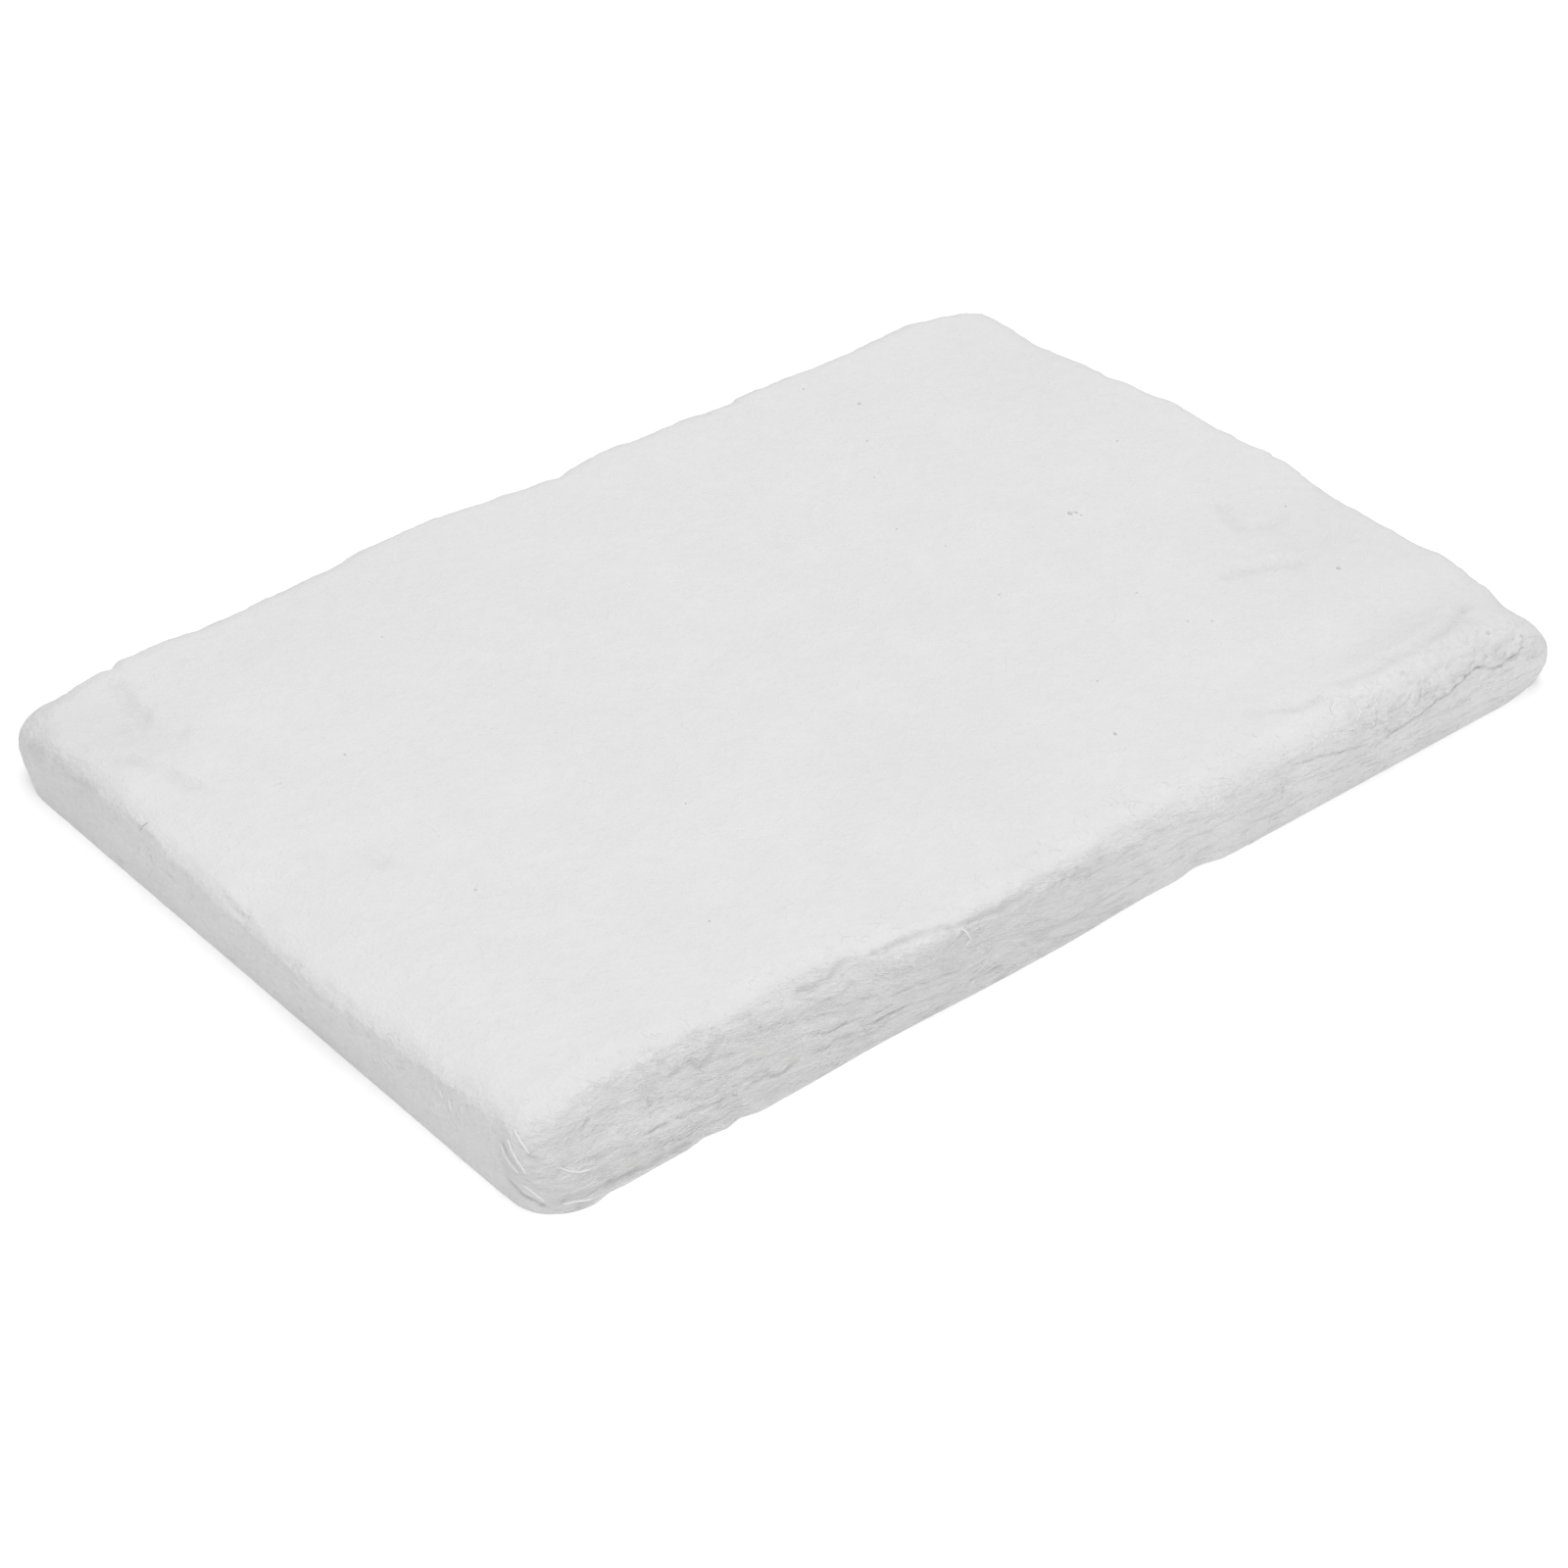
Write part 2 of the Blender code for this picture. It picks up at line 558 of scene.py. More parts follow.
class Cut(Enum):
    """The kinds of mark in the felt. The third number of each is the painted shade laid in the
    mark.
    """

    OPEN = Profile(0.65 * MM, 0.32 * MM, 0.90, 0.16 * MM, 1.8 * MM)
    CLEFT = Profile(0.42 * MM, 0.28 * MM, 0.65, 0.10 * MM, 1.4 * MM)
    HAIRLINE = Profile(0.24 * MM, 0.24 * MM, 0.40, 0.05 * MM, 1.0 * MM)
    UNDERCUT = Profile(0.55 * MM, 0.55 * MM, 0.45, 0.12 * MM, 2.0 * MM)
    FOLD = Profile(0.50 * MM, 0.70 * MM, 0.40, 0.45 * MM, 3.4 * MM)
    CREASE = Profile(0.50 * MM, 1.80 * MM, 0.20, 0.22 * MM, 3.4 * MM)
    DENT = Profile(0.60 * MM, 2.20 * MM, 0.10, 0.00 * MM, 1.0 * MM)
    TUFT = Profile(-0.75 * MM, 1.05 * MM, 0.00, 0.00 * MM, 1.0 * MM)
    LOBE = Profile(-1.10 * MM, 2.60 * MM, 0.00, 0.00 * MM, 1.0 * MM)


@dataclass(frozen=True)
class Mark:
    """A mark in the felt, along given pixels of the photograph."""

    cut: Cut
    route: tuple[Pixel, ...]
    strength: float = 1.0
    lip_side: int = 1


@dataclass(frozen=True)
class Patch:
    """A round patch of the felt that fades out towards its edge."""

    pixel: Pixel
    radius: float
    strength: float


FRONT_CORNER_MARKS = (
    Mark(Cut.OPEN, ((601, 1139), (594, 1153), (599, 1165)), 0.8),
    Mark(Cut.OPEN, ((655, 1160), (669, 1153), (684, 1146))),
    Mark(Cut.CLEFT, ((690, 1143), (699, 1138))),
    Mark(Cut.CLEFT, ((697, 1137), (720, 1131), (745, 1118))),
    Mark(Cut.CLEFT, ((757, 1114), (771, 1103), (783, 1098), (801, 1096))),
    Mark(
        Cut.FOLD,
        ((678, 1104), (693, 1093), (705, 1085), (715, 1091), (725, 1078), (732, 1066), (740, 1056)),
        0.8,
    ),
    Mark(Cut.HAIRLINE, ((756, 1036), (762, 1043), (776, 1049), (790, 1046), (806, 1036))),
    Mark(Cut.FOLD, ((561, 1201), (576, 1191), (591, 1186), (613, 1180), (628, 1172)), 0.7, -1),
    Mark(
        Cut.UNDERCUT,
        ((562, 1231), (580, 1223), (600, 1218), (630, 1204), (660, 1191), (690, 1175), (714, 1162)),
        0.7,
    ),
    Mark(Cut.CLEFT, ((511, 1161), (517, 1176), (527, 1191), (537, 1203)), 0.9),
    Mark(Cut.HAIRLINE, ((507, 1174), (514, 1191), (525, 1199)), 1.2),
    Mark(Cut.OPEN, ((514, 1196), (522, 1208), (530, 1216), (546, 1226), (560, 1233)), 1.2),
    Mark(Cut.HAIRLINE, ((527, 1164), (541, 1179), (556, 1182))),
    Mark(Cut.HAIRLINE, ((615, 1134), (630, 1132), (649, 1125), (665, 1117))),
    Mark(Cut.HAIRLINE, ((620, 1176), (632, 1171), (641, 1168))),
    Mark(Cut.HAIRLINE, ((632, 1180), (643, 1178), (655, 1175))),
    Mark(Cut.HAIRLINE, ((669, 1175), (684, 1166), (698, 1159), (718, 1151))),
    Mark(Cut.DENT, ((660, 1125), (668, 1118), (674, 1112)), 1.4),
    Mark(Cut.HAIRLINE, ((708, 1110), (735, 1098), (765, 1084), (800, 1073))),
    Mark(Cut.HAIRLINE, ((730, 1120), (760, 1104), (790, 1088))),
    Mark(Cut.TUFT, ((603, 1108), (612, 1103), (630, 1105)), 0.9),
    Mark(Cut.TUFT, ((635, 1092), (650, 1086), (662, 1083), (676, 1088))),
    Mark(Cut.TUFT, ((696, 1055), (706, 1050), (720, 1051))),
    Mark(Cut.TUFT, ((668, 1069), (673, 1078), (677, 1087)), 0.7),
    Mark(Cut.TUFT, ((737, 1040), (748, 1034), (757, 1033)), 0.7),
)

MIDDLE_MARKS = (
    Mark(Cut.FOLD, ((808, 1012), (827, 1011), (847, 1000), (858, 987), (868, 975)), 0.9),
    Mark(Cut.TUFT, ((1056, 913), (1066, 905), (1074, 900)), 0.8),
    Mark(Cut.TUFT, ((1010, 925), (1030, 915), (1046, 905)), 0.6),
    Mark(Cut.FOLD, ((883, 977), (914, 963), (939, 954), (965, 947), (979, 946)), 1.6, -1),
    Mark(Cut.LOBE, ((898, 988), (925, 976), (950, 966), (978, 960))),
    Mark(Cut.CLEFT, ((979, 949), (988, 955), (986, 963)), 0.4),
    Mark(Cut.FOLD, ((976, 945), (1009, 934), (1032, 924), (1046, 912)), 0.6, -1),
    Mark(Cut.CLEFT, ((904, 1019), (934, 1006), (965, 995), (985, 989))),
    Mark(Cut.OPEN, ((887, 1048), (898, 1040), (912, 1033), (928, 1025)), 0.8),
    Mark(Cut.CLEFT, ((830, 1058), (860, 1047), (889, 1035))),
    Mark(Cut.OPEN, ((824, 1076), (847, 1068), (874, 1053)), 0.5),
    Mark(Cut.OPEN, ((773, 1101), (786, 1098), (799, 1097), (809, 1087), (820, 1076)), 0.8),
    Mark(Cut.CLEFT, ((984, 1004), (1006, 993), (1030, 982))),
    Mark(Cut.OPEN, ((1033, 968), (1042, 964), (1051, 963)), 0.8),
    Mark(Cut.CLEFT, ((943, 1022), (961, 1014), (980, 1008)), 0.8),
    Mark(Cut.FOLD, ((883, 998), (912, 994), (939, 988), (984, 973)), 0.3),
    Mark(Cut.HAIRLINE, ((978, 972), (998, 964), (1020, 957))),
    Mark(Cut.CLEFT, ((1087, 928), (1097, 922), (1107, 916)), 0.5),
    Mark(Cut.HAIRLINE, ((810, 1036), (840, 1030), (870, 1022), (900, 1014))),
    Mark(Cut.HAIRLINE, ((850, 1063), (880, 1052), (905, 1045))),
    Mark(Cut.HAIRLINE, ((1040, 946), (1058, 940), (1072, 938))),
    Mark(Cut.HAIRLINE, ((1060, 911), (1078, 902), (1098, 893), (1122, 886))),
    Mark(Cut.HAIRLINE, ((1105, 934), (1125, 925), (1150, 916))),
)

RIGHT_MARKS = (
    Mark(
        Cut.OPEN,
        ((1409, 754), (1423, 747), (1448, 729), (1477, 708), (1507, 680), (1525, 683), (1553, 664)),
    ),
    Mark(Cut.CLEFT, ((1316, 783), (1341, 774), (1368, 767), (1399, 759))),
    Mark(Cut.CLEFT, ((1271, 843), (1302, 830), (1337, 811))),
    Mark(Cut.DENT, ((1309, 806), (1313, 804)), 1.2),
    Mark(Cut.HAIRLINE, ((1200, 862), (1235, 846), (1262, 832), (1290, 822))),
    Mark(Cut.HAIRLINE, ((1150, 889), (1180, 874), (1215, 856))),
    Mark(Cut.HAIRLINE, ((1350, 790), (1380, 780), (1405, 770))),
    Mark(
        Cut.CREASE,
        ((1361, 700), (1390, 687), (1415, 674), (1443, 660), (1478, 637), (1494, 612)),
        1.4,
    ),
    Mark(Cut.CREASE, ((1261, 728), (1295, 725), (1333, 717), (1352, 708)), 1.2),
    Mark(Cut.CREASE, ((1238, 587), (1265, 581), (1289, 576), (1339, 573)), 1.6),
    Mark(Cut.CREASE, ((1242, 511), (1254, 529), (1267, 539), (1294, 536), (1317, 522)), 0.9),
    Mark(Cut.DENT, ((1491, 603), (1497, 594), (1503, 588)), 1.3),
    Mark(Cut.CREASE, ((1476, 642), (1484, 632), (1500, 632), (1520, 634)), 0.8),
)

LEFT_MARKS = (
    Mark(Cut.CREASE, ((112, 690), (126, 708), (130, 720), (142, 730), (151, 741)), 1.6),
    Mark(Cut.CREASE, ((104, 772), (135, 774), (165, 785), (190, 800), (216, 809)), 1.3),
    Mark(Cut.DENT, ((118, 735), (130, 748)), 1.0),
    Mark(Cut.FOLD, ((62, 790), (80, 797), (97, 806)), 0.5),
    Mark(Cut.FOLD, ((124, 828), (136, 840), (148, 852), (166, 864)), 0.6),
    Mark(Cut.FOLD, ((220, 903), (230, 915), (239, 928), (256, 943)), 0.6),
    Mark(Cut.FOLD, ((330, 1004), (348, 1016), (366, 1030)), 0.4),
    Mark(Cut.FOLD, ((430, 1092), (446, 1104), (462, 1118)), 0.4),
    Mark(Cut.DENT, ((180, 742), (196, 750)), 0.9),
    Mark(Cut.DENT, ((262, 775), (270, 777)), 1.0),
    Mark(Cut.DENT, ((283, 796), (290, 797)), 1.0),
    Mark(Cut.CREASE, ((362, 868), (380, 876), (406, 884)), 1.2),
    Mark(Cut.CREASE, ((300, 873), (333, 869)), 0.8),
    Mark(Cut.CREASE, ((788, 552), (800, 557), (812, 561)), 0.7),
)

PHOTO_MARKS = FRONT_CORNER_MARKS + MIDDLE_MARKS + RIGHT_MARKS + LEFT_MARKS

WOOL_PATCHES = (
    Patch((1378, 716), 13 * MM, 0.9),
    Patch((1404, 722), 13 * MM, 1.0),
    Patch((1440, 702), 14 * MM, 1.0),
    Patch((1475, 682), 14 * MM, 1.0),
    Patch((1510, 664), 13 * MM, 1.0),
    Patch((1545, 655), 10 * MM, 0.9),
    Patch((720, 1050), 9 * MM, 0.6),
    Patch((665, 1085), 9 * MM, 0.6),
    Patch((615, 1110), 8 * MM, 0.5),
    Patch((150, 740), 14 * MM, 0.5),
    Patch((85, 762), 11 * MM, 0.4),
    Patch((1085, 900), 8 * MM, 0.4),
)

# Painted shade on the torn side, under its front foot, along its rim and crack, and at the left
# nose; the broad patches on the top are a darker tone.
PAINTED_SHADE_AND_GREY_PATCHES = (
    Patch((90, 745), 34 * MM, 0.16),
    Patch((1500, 640), 50 * MM, 0.15),
    Patch((1380, 560), 60 * MM, 0.12),
    Patch((1060, 380), 40 * MM, 0.08),
    Patch((330, 610), 60 * MM, 0.07),
    Patch((1385, 738), 8 * MM, 0.30),
    Patch((1420, 724), 8 * MM, 0.34),
    Patch((1455, 704), 8 * MM, 0.32),
    Patch((1490, 684), 8 * MM, 0.28),
    Patch((1522, 664), 7 * MM, 0.28),
    Patch((575, 1225), 6 * MM, 0.32),
    Patch((600, 1216), 7 * MM, 0.46),
    Patch((625, 1206), 7 * MM, 0.56),
    Patch((648, 1196), 7 * MM, 0.62),
    Patch((670, 1185), 7 * MM, 0.60),
    Patch((694, 1172), 8 * MM, 0.46),
    Patch((740, 1138), 18 * MM, 0.24),
    Patch((800, 1106), 20 * MM, 0.28),
    Patch((855, 1078), 20 * MM, 0.28),
    Patch((663, 1120), 6 * MM, 0.22),
    Patch((950, 775), 34 * MM, 0.06),
    Patch((1150, 925), 20 * MM, 0.14),
    Patch((1225, 880), 20 * MM, 0.24),
    Patch((1290, 845), 24 * MM, 0.34),
    Patch((1380, 795), 26 * MM, 0.30),
    Patch((1470, 745), 22 * MM, 0.30),
    Patch((1530, 705), 14 * MM, 0.14),
    Patch((38, 768), 9 * MM, 0.30),
    Patch((62, 784), 8 * MM, 0.22),
)


@dataclass
class Carver:
    """Presses marks of the photograph into the felt, and paints shade into them.

    Steps and wanderings are in pixels. Tails are in widths of the mark.
    """

    view: PhotoView
    mesh: bmesh.types.BMesh
    step: float = 1.2
    wander: float = 2.2
    wander_length: float = 7.0
    tail: float = 2.6
    lip_tail: float = 1.3
    end_tail: float = 2.0
    taper: float = 3.0 * MM
    taper_share: float = 0.3
    bluntness: float = 0.15
    patch_length: float = 3.0 * MM
    patch_floor: float = 0.60
    patch_middle: float = 0.6
    patch_swing: float = 1.6
    darkest: float = 1.2
    lane_gap: float = 11.0

    def __post_init__(self) -> None:
        """Index the surface, which is on the main form and has its normals."""
        mesh = self.mesh
        self.surface = BVHTree.FromBMesh(mesh)
        self.index = KDTree(len(mesh.verts))
        for vert in mesh.verts:
            self.index.insert(vert.co, vert.index)
        self.index.balance()
        self.moves = [0.0] * len(mesh.verts)
        # painted shade along the marks, one value for each vertex
        self.shades = [0.0] * len(mesh.verts)
        self.wool = [0.0] * len(mesh.verts)
        # painted shade and darker tone from the patches, one value for each vertex
        self.grey = [0.0] * len(mesh.verts)

    def lay(self, mark: Mark, lane: float) -> list[tuple[Vector, Vector]]:
        """Lay a mark's route on the surface, with small wanderings.

        Args:
            mark: The mark.
            lane: A number that makes its wanderings its own.

        Returns:
            Points a fraction of a millimetre apart, each with the surface's normal.
        """
        laid = []
        for start, end in zip(mark.route, mark.route[1:]):
            span = math.dist(start, end)
            count = max(1, round(span / self.step))
            for number in range(count):
                column, row = between(start, end, number / count)
                sway = self.wander * noise.noise(Vector((column, row, lane)) / self.wander_length)
                hit = self.view.on(self.surface, (column, row + sway))
                if hit:
                    laid.append(hit)
        return laid

    def press(self, mark: Mark, lane: float) -> None:
        """Press one mark into the felt and paint shade into it.

        Args:
            mark: The mark.
            lane: A number that makes its wanderings its own.
        """
        laid = self.lay(mark, lane)
        if len(laid) < 2:
            return
        profile: Profile = mark.cut.value
        reach = max(self.tail * profile.width, profile.width + self.lip_tail * profile.lip_reach)
        length = (laid[-1][0] - laid[0][0]).length
        taper = min(self.taper, self.taper_share * length)
        picture_up = self.view.axes()[1]
        nearest: dict[int, tuple[float, int, Vector]] = {}
        for number, (place, _) in enumerate(laid):
            for co, index, distance in self.index.find_range(place, reach):
                if index not in nearest or distance < nearest[index][0]:
                    nearest[index] = (distance, number, co)
        for index, (distance, number, co) in nearest.items():
            place, normal = laid[number]
            before = laid[max(number - 1, 0)][0]
            after = laid[min(number + 1, len(laid) - 1)][0]
            upward = normal.cross(after - before).normalized()
            if upward.dot(picture_up) < 0.0:
                upward.negate()
            across = (co - place).dot(upward)
            beyond = math.sqrt(max(distance**2 - across**2, 0.0))
            gone = (laid[0][0] - place).length
            left = (laid[-1][0] - place).length
            ends = smooth_step(min(gone, left) / taper + self.bluntness)
            ends *= max(0.0, 1.0 - beyond / (self.end_tail * profile.width))
            patchy = noise.noise(place / self.patch_length + Vector((lane, 0.0, 0.0)))
            patchy = smooth_step(self.patch_middle + self.patch_swing * patchy)
            ends *= self.patch_floor + (1.0 - self.patch_floor) * patchy
            move, shade = profile.at(across, mark.lip_side)
            move *= ends * mark.strength
            # painted shade, deepest along the mark's middle
            shade *= ends * min(mark.strength, self.darkest)
            if abs(move) > abs(self.moves[index]):
                self.moves[index] = move
            self.shades[index] = max(self.shades[index], shade)

    def spread(self, patch: Patch, values: list[float]) -> None:
        """Raise values in a patch.

        Args:
            patch: The patch.
            values: One value for each vertex.
        """
        hit = self.view.on(self.surface, patch.pixel)
        if hit is None:
            return
        for _, index, distance in self.index.find_range(hit[0], patch.radius):
            share = patch.strength * (1.0 - smooth_step(distance / patch.radius))
            values[index] = max(values[index], share)

    def carve(self) -> None:
        """Press every mark and note every patch."""
        for lane, mark in enumerate(PHOTO_MARKS):
            self.press(mark, self.lane_gap * lane)
        for patch in WOOL_PATCHES:
            self.spread(patch, self.wool)
        # patches of painted shade, and of darker tone on the top
        for patch in PAINTED_SHADE_AND_GREY_PATCHES:
            self.spread(patch, self.grey)


@dataclass(frozen=True)
class Layers:
    """The blanket's layers where a side lays them open: sheets with creases between them."""

    dip: float = 0.14
    dip_end: float = 0.105
    rise: float = 0.10
    sway: float = 1.1 * MM
    sway_length: float = 0.017
    coarse: tuple[float, float] = (38 * MM, 4.4 * MM)
    fine: tuple[float, float] = (10 * MM, 1.5 * MM)
    strong: tuple[float, float] = (30 * MM, 9 * MM)
    weak: tuple[float, float] = (16 * MM, 6 * MM)
    lanes: tuple[float, float, float, float] = (3.0, 17.0, 29.0, 41.0)
    strong_share: float = 0.45
    weak_share: float = 0.40
    patch_swing: float = 1.6
    crease: float = 0.085
    fine_crease: float = 1.5
    coarse_depth: float = 0.20 * MM
    fine_depth: float = 0.20 * MM
    coarse_shade: float = 0.55
    fine_shade: float = 0.50
    sheet_step: float = 0.46 * MM
    fibre_height: float = 0.07 * MM
    fibre_size: tuple[float, float, float] = (3.2, 3.2, 0.7)
    fibre_fade: float = 0.8
    fibre_finer: float = 2.1
    fibre_octaves: int = 3
    plain_from: float = -0.020
    plain_reach: float = 0.070
    plain_share: float = 0.70

    def strength(self, along: float) -> float:
        """Return how strongly the layers show along X: the right end is nearly plain."""
        return 1.0 - self.plain_share * smooth_step((along - self.plain_from) / self.plain_reach)

    def tilted(self, point: Vector) -> Vector:
        """Follow the layers' slant and sway.

        Args:
            point: A point of the main form.

        Returns:
            Where the point lies once the layers are laid level.
        """
        slant = self.dip * min(point.x, self.dip_end) - self.rise * max(point.x - self.dip_end, 0.0)
        sway = self.sway * noise.noise(point / self.sway_length)
        return Vector((point.x, point.y, point.z + slant + sway))

    def relief(self, point: Vector) -> tuple[float, float]:
        """Say how far the open layers stand out at a place, and how much painted shade its creases
        get.

        Args:
            point: A point of the main form.

        Returns:
            The outward move in metres, and the share of painted shade laid in the creases.
        """
        place = self.tilted(point)
        coarse = swirl(place, *self.coarse, self.lanes[0])
        fine = swirl(place, *self.fine, self.lanes[1])
        strong = self.strong_share + self.patch_swing * swirl(point, *self.strong, self.lanes[2])
        weak = self.weak_share + self.patch_swing * swirl(point, *self.weak, self.lanes[3])
        deep = min(max(strong, 0.0), 1.0) * max(0.0, 1.0 - abs(coarse) / self.crease)
        gap = max(0.0, 1.0 - abs(fine) / (self.fine_crease * self.crease))
        shallow = min(max(weak, 0.0), 1.0) * gap
        push = self.sheet_step * coarse - self.coarse_depth * deep - self.fine_depth * shallow
        streak = Vector([part / size for part, size in zip(place, self.fibre_size)]) / MM
        fibre = noise.fractal(streak, self.fibre_fade, self.fibre_finer, self.fibre_octaves)
        push += self.fibre_height * fibre
        # painted shade, deepest in the creases
        return push, max(self.coarse_shade * deep, self.fine_shade * shallow)


@dataclass(frozen=True)
class Ripple:
    """One scale of soft relief: its height, the length of its swings and its place in the noise.

    With octaves it is a sum of ever finer swings.
    """

    height: float
    length: float
    lane: tuple[float, float, float] = (0.0, 0.0, 0.0)
    octaves: int = 0
    fade: float = 0.9
    finer: float = 2.1

    def at(self, point: Vector) -> float:
        """Say how far the felt moves out at a place.

        Args:
            point: A point of the main form.

        Returns:
            The move in metres.
        """
        place = point / self.length + Vector(self.lane)
        if self.octaves:
            return self.height * noise.fractal(place, self.fade, self.finer, self.octaves)
        return self.height * noise.noise(place)


TOP_RIPPLES = (
    Ripple(0.30 * MM, 0.034),
    Ripple(0.12 * MM, 0.009, (3.1, 0.0, 0.0)),
    Ripple(0.05 * MM, 0.0028, octaves=2),
)
KNIFE_RIPPLES = (
    Ripple(0.22 * MM, 0.0060, (2.7, 0.0, 0.0)),
    Ripple(0.13 * MM, 0.0016, (0.0, 0.0, 6.1), 2, 0.7, 2.2),
)
RIM_LUMPS = Ripple(0.70 * MM, 0.0085, (0.0, 9.7, 0.0))
RIM_CRUMBS = Ripple(0.22 * MM, 0.0031, (5.3, 0.0, 0.0), 3, 0.8, 2.2)
TORN_CRUMBS = Ripple(0.16 * MM, 0.0031, (5.3, 0.0, 0.0), 3, 0.8, 2.2)


@dataclass(frozen=True)
class Curls:
    """Loose curls of wool with narrow gaps between them."""

    bend: float = 1.6 * MM
    bend_length: float = 0.0045
    length: float = 0.0030
    height: float = 1.2 * MM
    flat_from: float = 0.45
    gap: float = 0.15
    gap_depth: float = 0.20 * MM
    gap_shade: float = 0.24

    def at(self, point: Vector) -> tuple[float, float]:
        """Say how far loose curls stand out at a place, and how much painted shade falls between
        them.

        Args:
            point: A point of the main form.

        Returns:
            The outward move and the share of painted shade in the gaps.
        """
        bent = point + self.bend * noise.noise_vector(point / self.bend_length)
        curl = abs(noise.noise(bent / self.length))
        gap = max(0.0, 1.0 - curl / self.gap)
        # painted shade in the gaps between curls
        return self.height * min(curl, self.flat_from) - self.gap_depth * gap, self.gap_shade * gap


@dataclass
class FibreSkin:
    """The slab's fine surface: one closed skin over the main form."""

    form: SlabForm
    view: PhotoView
    layers: Layers = Layers()
    curls: Curls = Curls()
    cell_along: float = 0.95 * MM
    edge_cell: float = 0.8 * MM
    middle_cell: float = 1.6 * MM
    edge_band: float = 14 * MM
    levels: int = 54
    underside_cell: int = 12
    map_gap: float = 3 * MM
    underside_place: float = 0.235
    underside_scale: float = 0.20
    wall_share: float = 0.5
    rim_share: float = 1.5
    level_share: float = 1.2
    torn_turn: float = 0.35
    torn_fade: float = 0.4
    corner_share: float = 0.6
    corner_from: float = 0.080
    corner_fade: float = 0.016
    foot_band: float = 1.4 * MM
    foot_share: float = 0.3
    cut_side_relief: float = 0.13
    # knife-cut walls evenly darker: partly their cut fibre ends' own tone, partly painted shade
    cut_shade: float = 0.10
    # painted shade in a band over the torn side's rim
    rim_shade: float = 0.08

    def rows(self) -> list[float]:
        """Space the rows of vertices across the slab, close near the long sides.

        Returns:
            Their places along Y.
        """
        half = self.form.half_y
        edge_count = round(self.edge_band / self.edge_cell)
        middle = 2 * (half - self.edge_band)
        middle_count = round(middle / self.middle_cell)
        band = self.edge_band
        rows = [-half + band * number / edge_count for number in range(edge_count)]
        rows += [-half + band + middle * number / middle_count for number in range(middle_count)]
        rows += [half - band + band * number / edge_count for number in range(edge_count + 1)]
        return rows

    def plain_block(self) -> bmesh.types.BMesh:
        """Cut a plain block finely, with an underside of large cells.

        Returns:
            The block as a closed mesh.
        """
        form = self.form
        rows = self.rows()
        columns = round(2 * form.half_x / self.cell_along)
        mesh = bmesh.new()
        bmesh.ops.create_grid(mesh, x_segments=columns, y_segments=len(rows) - 1, size=1.0)
        for vert in mesh.verts:
            row = round((vert.co.y + 1.0) / 2.0 * (len(rows) - 1))
            vert.co = (vert.co.x * form.half_x, rows[row], 0.0)
        rim = [e for e in mesh.edges if e.is_boundary]
        made = set(bmesh.ops.extrude_edge_only(mesh, edges=rim)["geom"])
        top = [v for v in mesh.verts if v not in made]
        bmesh.ops.translate(mesh, vec=(0.0, 0.0, form.thickness), verts=top)
        uprights = [e for e in mesh.edges if abs(e.verts[0].co.z - e.verts[1].co.z) > SNAP]
        bmesh.ops.subdivide_edges(mesh, edges=uprights, cuts=self.levels, use_grid_fill=True)
        self.close_underside(mesh)
        bmesh.ops.recalc_face_normals(mesh, faces=mesh.faces)
        return mesh

    def close_underside(self, mesh: bmesh.types.BMesh) -> None:
        """Add a narrow ring under the foot, fill the rest and cut it into large cells.

        Args:
            mesh: The block, open below.
        """
        form = self.form
        foot = [e for e in mesh.edges if e.is_boundary]
        made = bmesh.ops.extrude_edge_only(mesh, edges=foot)["geom"]
        inner = [v for v in made if isinstance(v, bmesh.types.BMVert)]
        inset = (1.0 - form.foot_radius / form.half_x, 1.0 - form.foot_radius / form.half_y, 1.0)
        bmesh.ops.scale(mesh, vec=inset, verts=inner)
        ring = [e for e in mesh.edges if e.is_boundary]
        xs = sorted({round(v.co.x, 6) for v in inner})
        ys = sorted({round(v.co.y, 6) for v in inner})
        under = bmesh.ops.contextual_create(mesh, geom=ring)["faces"]
        geometry = [*under, *under[0].edges, *under[0].verts]
        for axis, places in ((Vector((1, 0, 0)), xs), (Vector((0, 1, 0)), ys)):
            for place in places[self.underside_cell : -self.underside_cell : self.underside_cell]:
                cut = bmesh.ops.bisect_plane(
                    mesh, geom=geometry, dist=SNAP, plane_co=axis * place, plane_no=axis
                )
                geometry = list(set(cut["geom"]) | set(cut["geom_cut"]))

    def unfold(self, mesh: bmesh.types.BMesh) -> None:
        """Lay the block's six faces out on one flat map, before they are shaped.

        Args:
            mesh: The plain block.
        """
        form = self.form
        layer = mesh.loops.layers.uv.new("OFBake")
        gap = self.map_gap
        scale = 1.0 / (2 * form.half_x + 2 * gap)
        strip = form.thickness + gap
        top_v = 2 * form.half_y + gap
        for face in mesh.faces:
            axis = max(range(3), key=lambda i: abs(face.normal[i]))
            for loop in face.loops:
                x, y, z = loop.vert.co
                along, across = x + form.half_x, y + form.half_y
                if axis == 2 and face.normal.z > 0:
                    place = (along, across)
                elif axis == 2:
                    place = (
                        self.underside_place + along * self.underside_scale,
                        top_v + 2 * strip + across * self.underside_scale,
                    )
                elif axis == 1:
                    place = (along, top_v + (strip if y > 0 else 0.0) + z)
                else:
                    place = (across, top_v + (3 if x > 0 else 2) * strip + z)
                loop[layer].uv = ((place[0] + gap) * scale, (place[1] + gap) * scale)

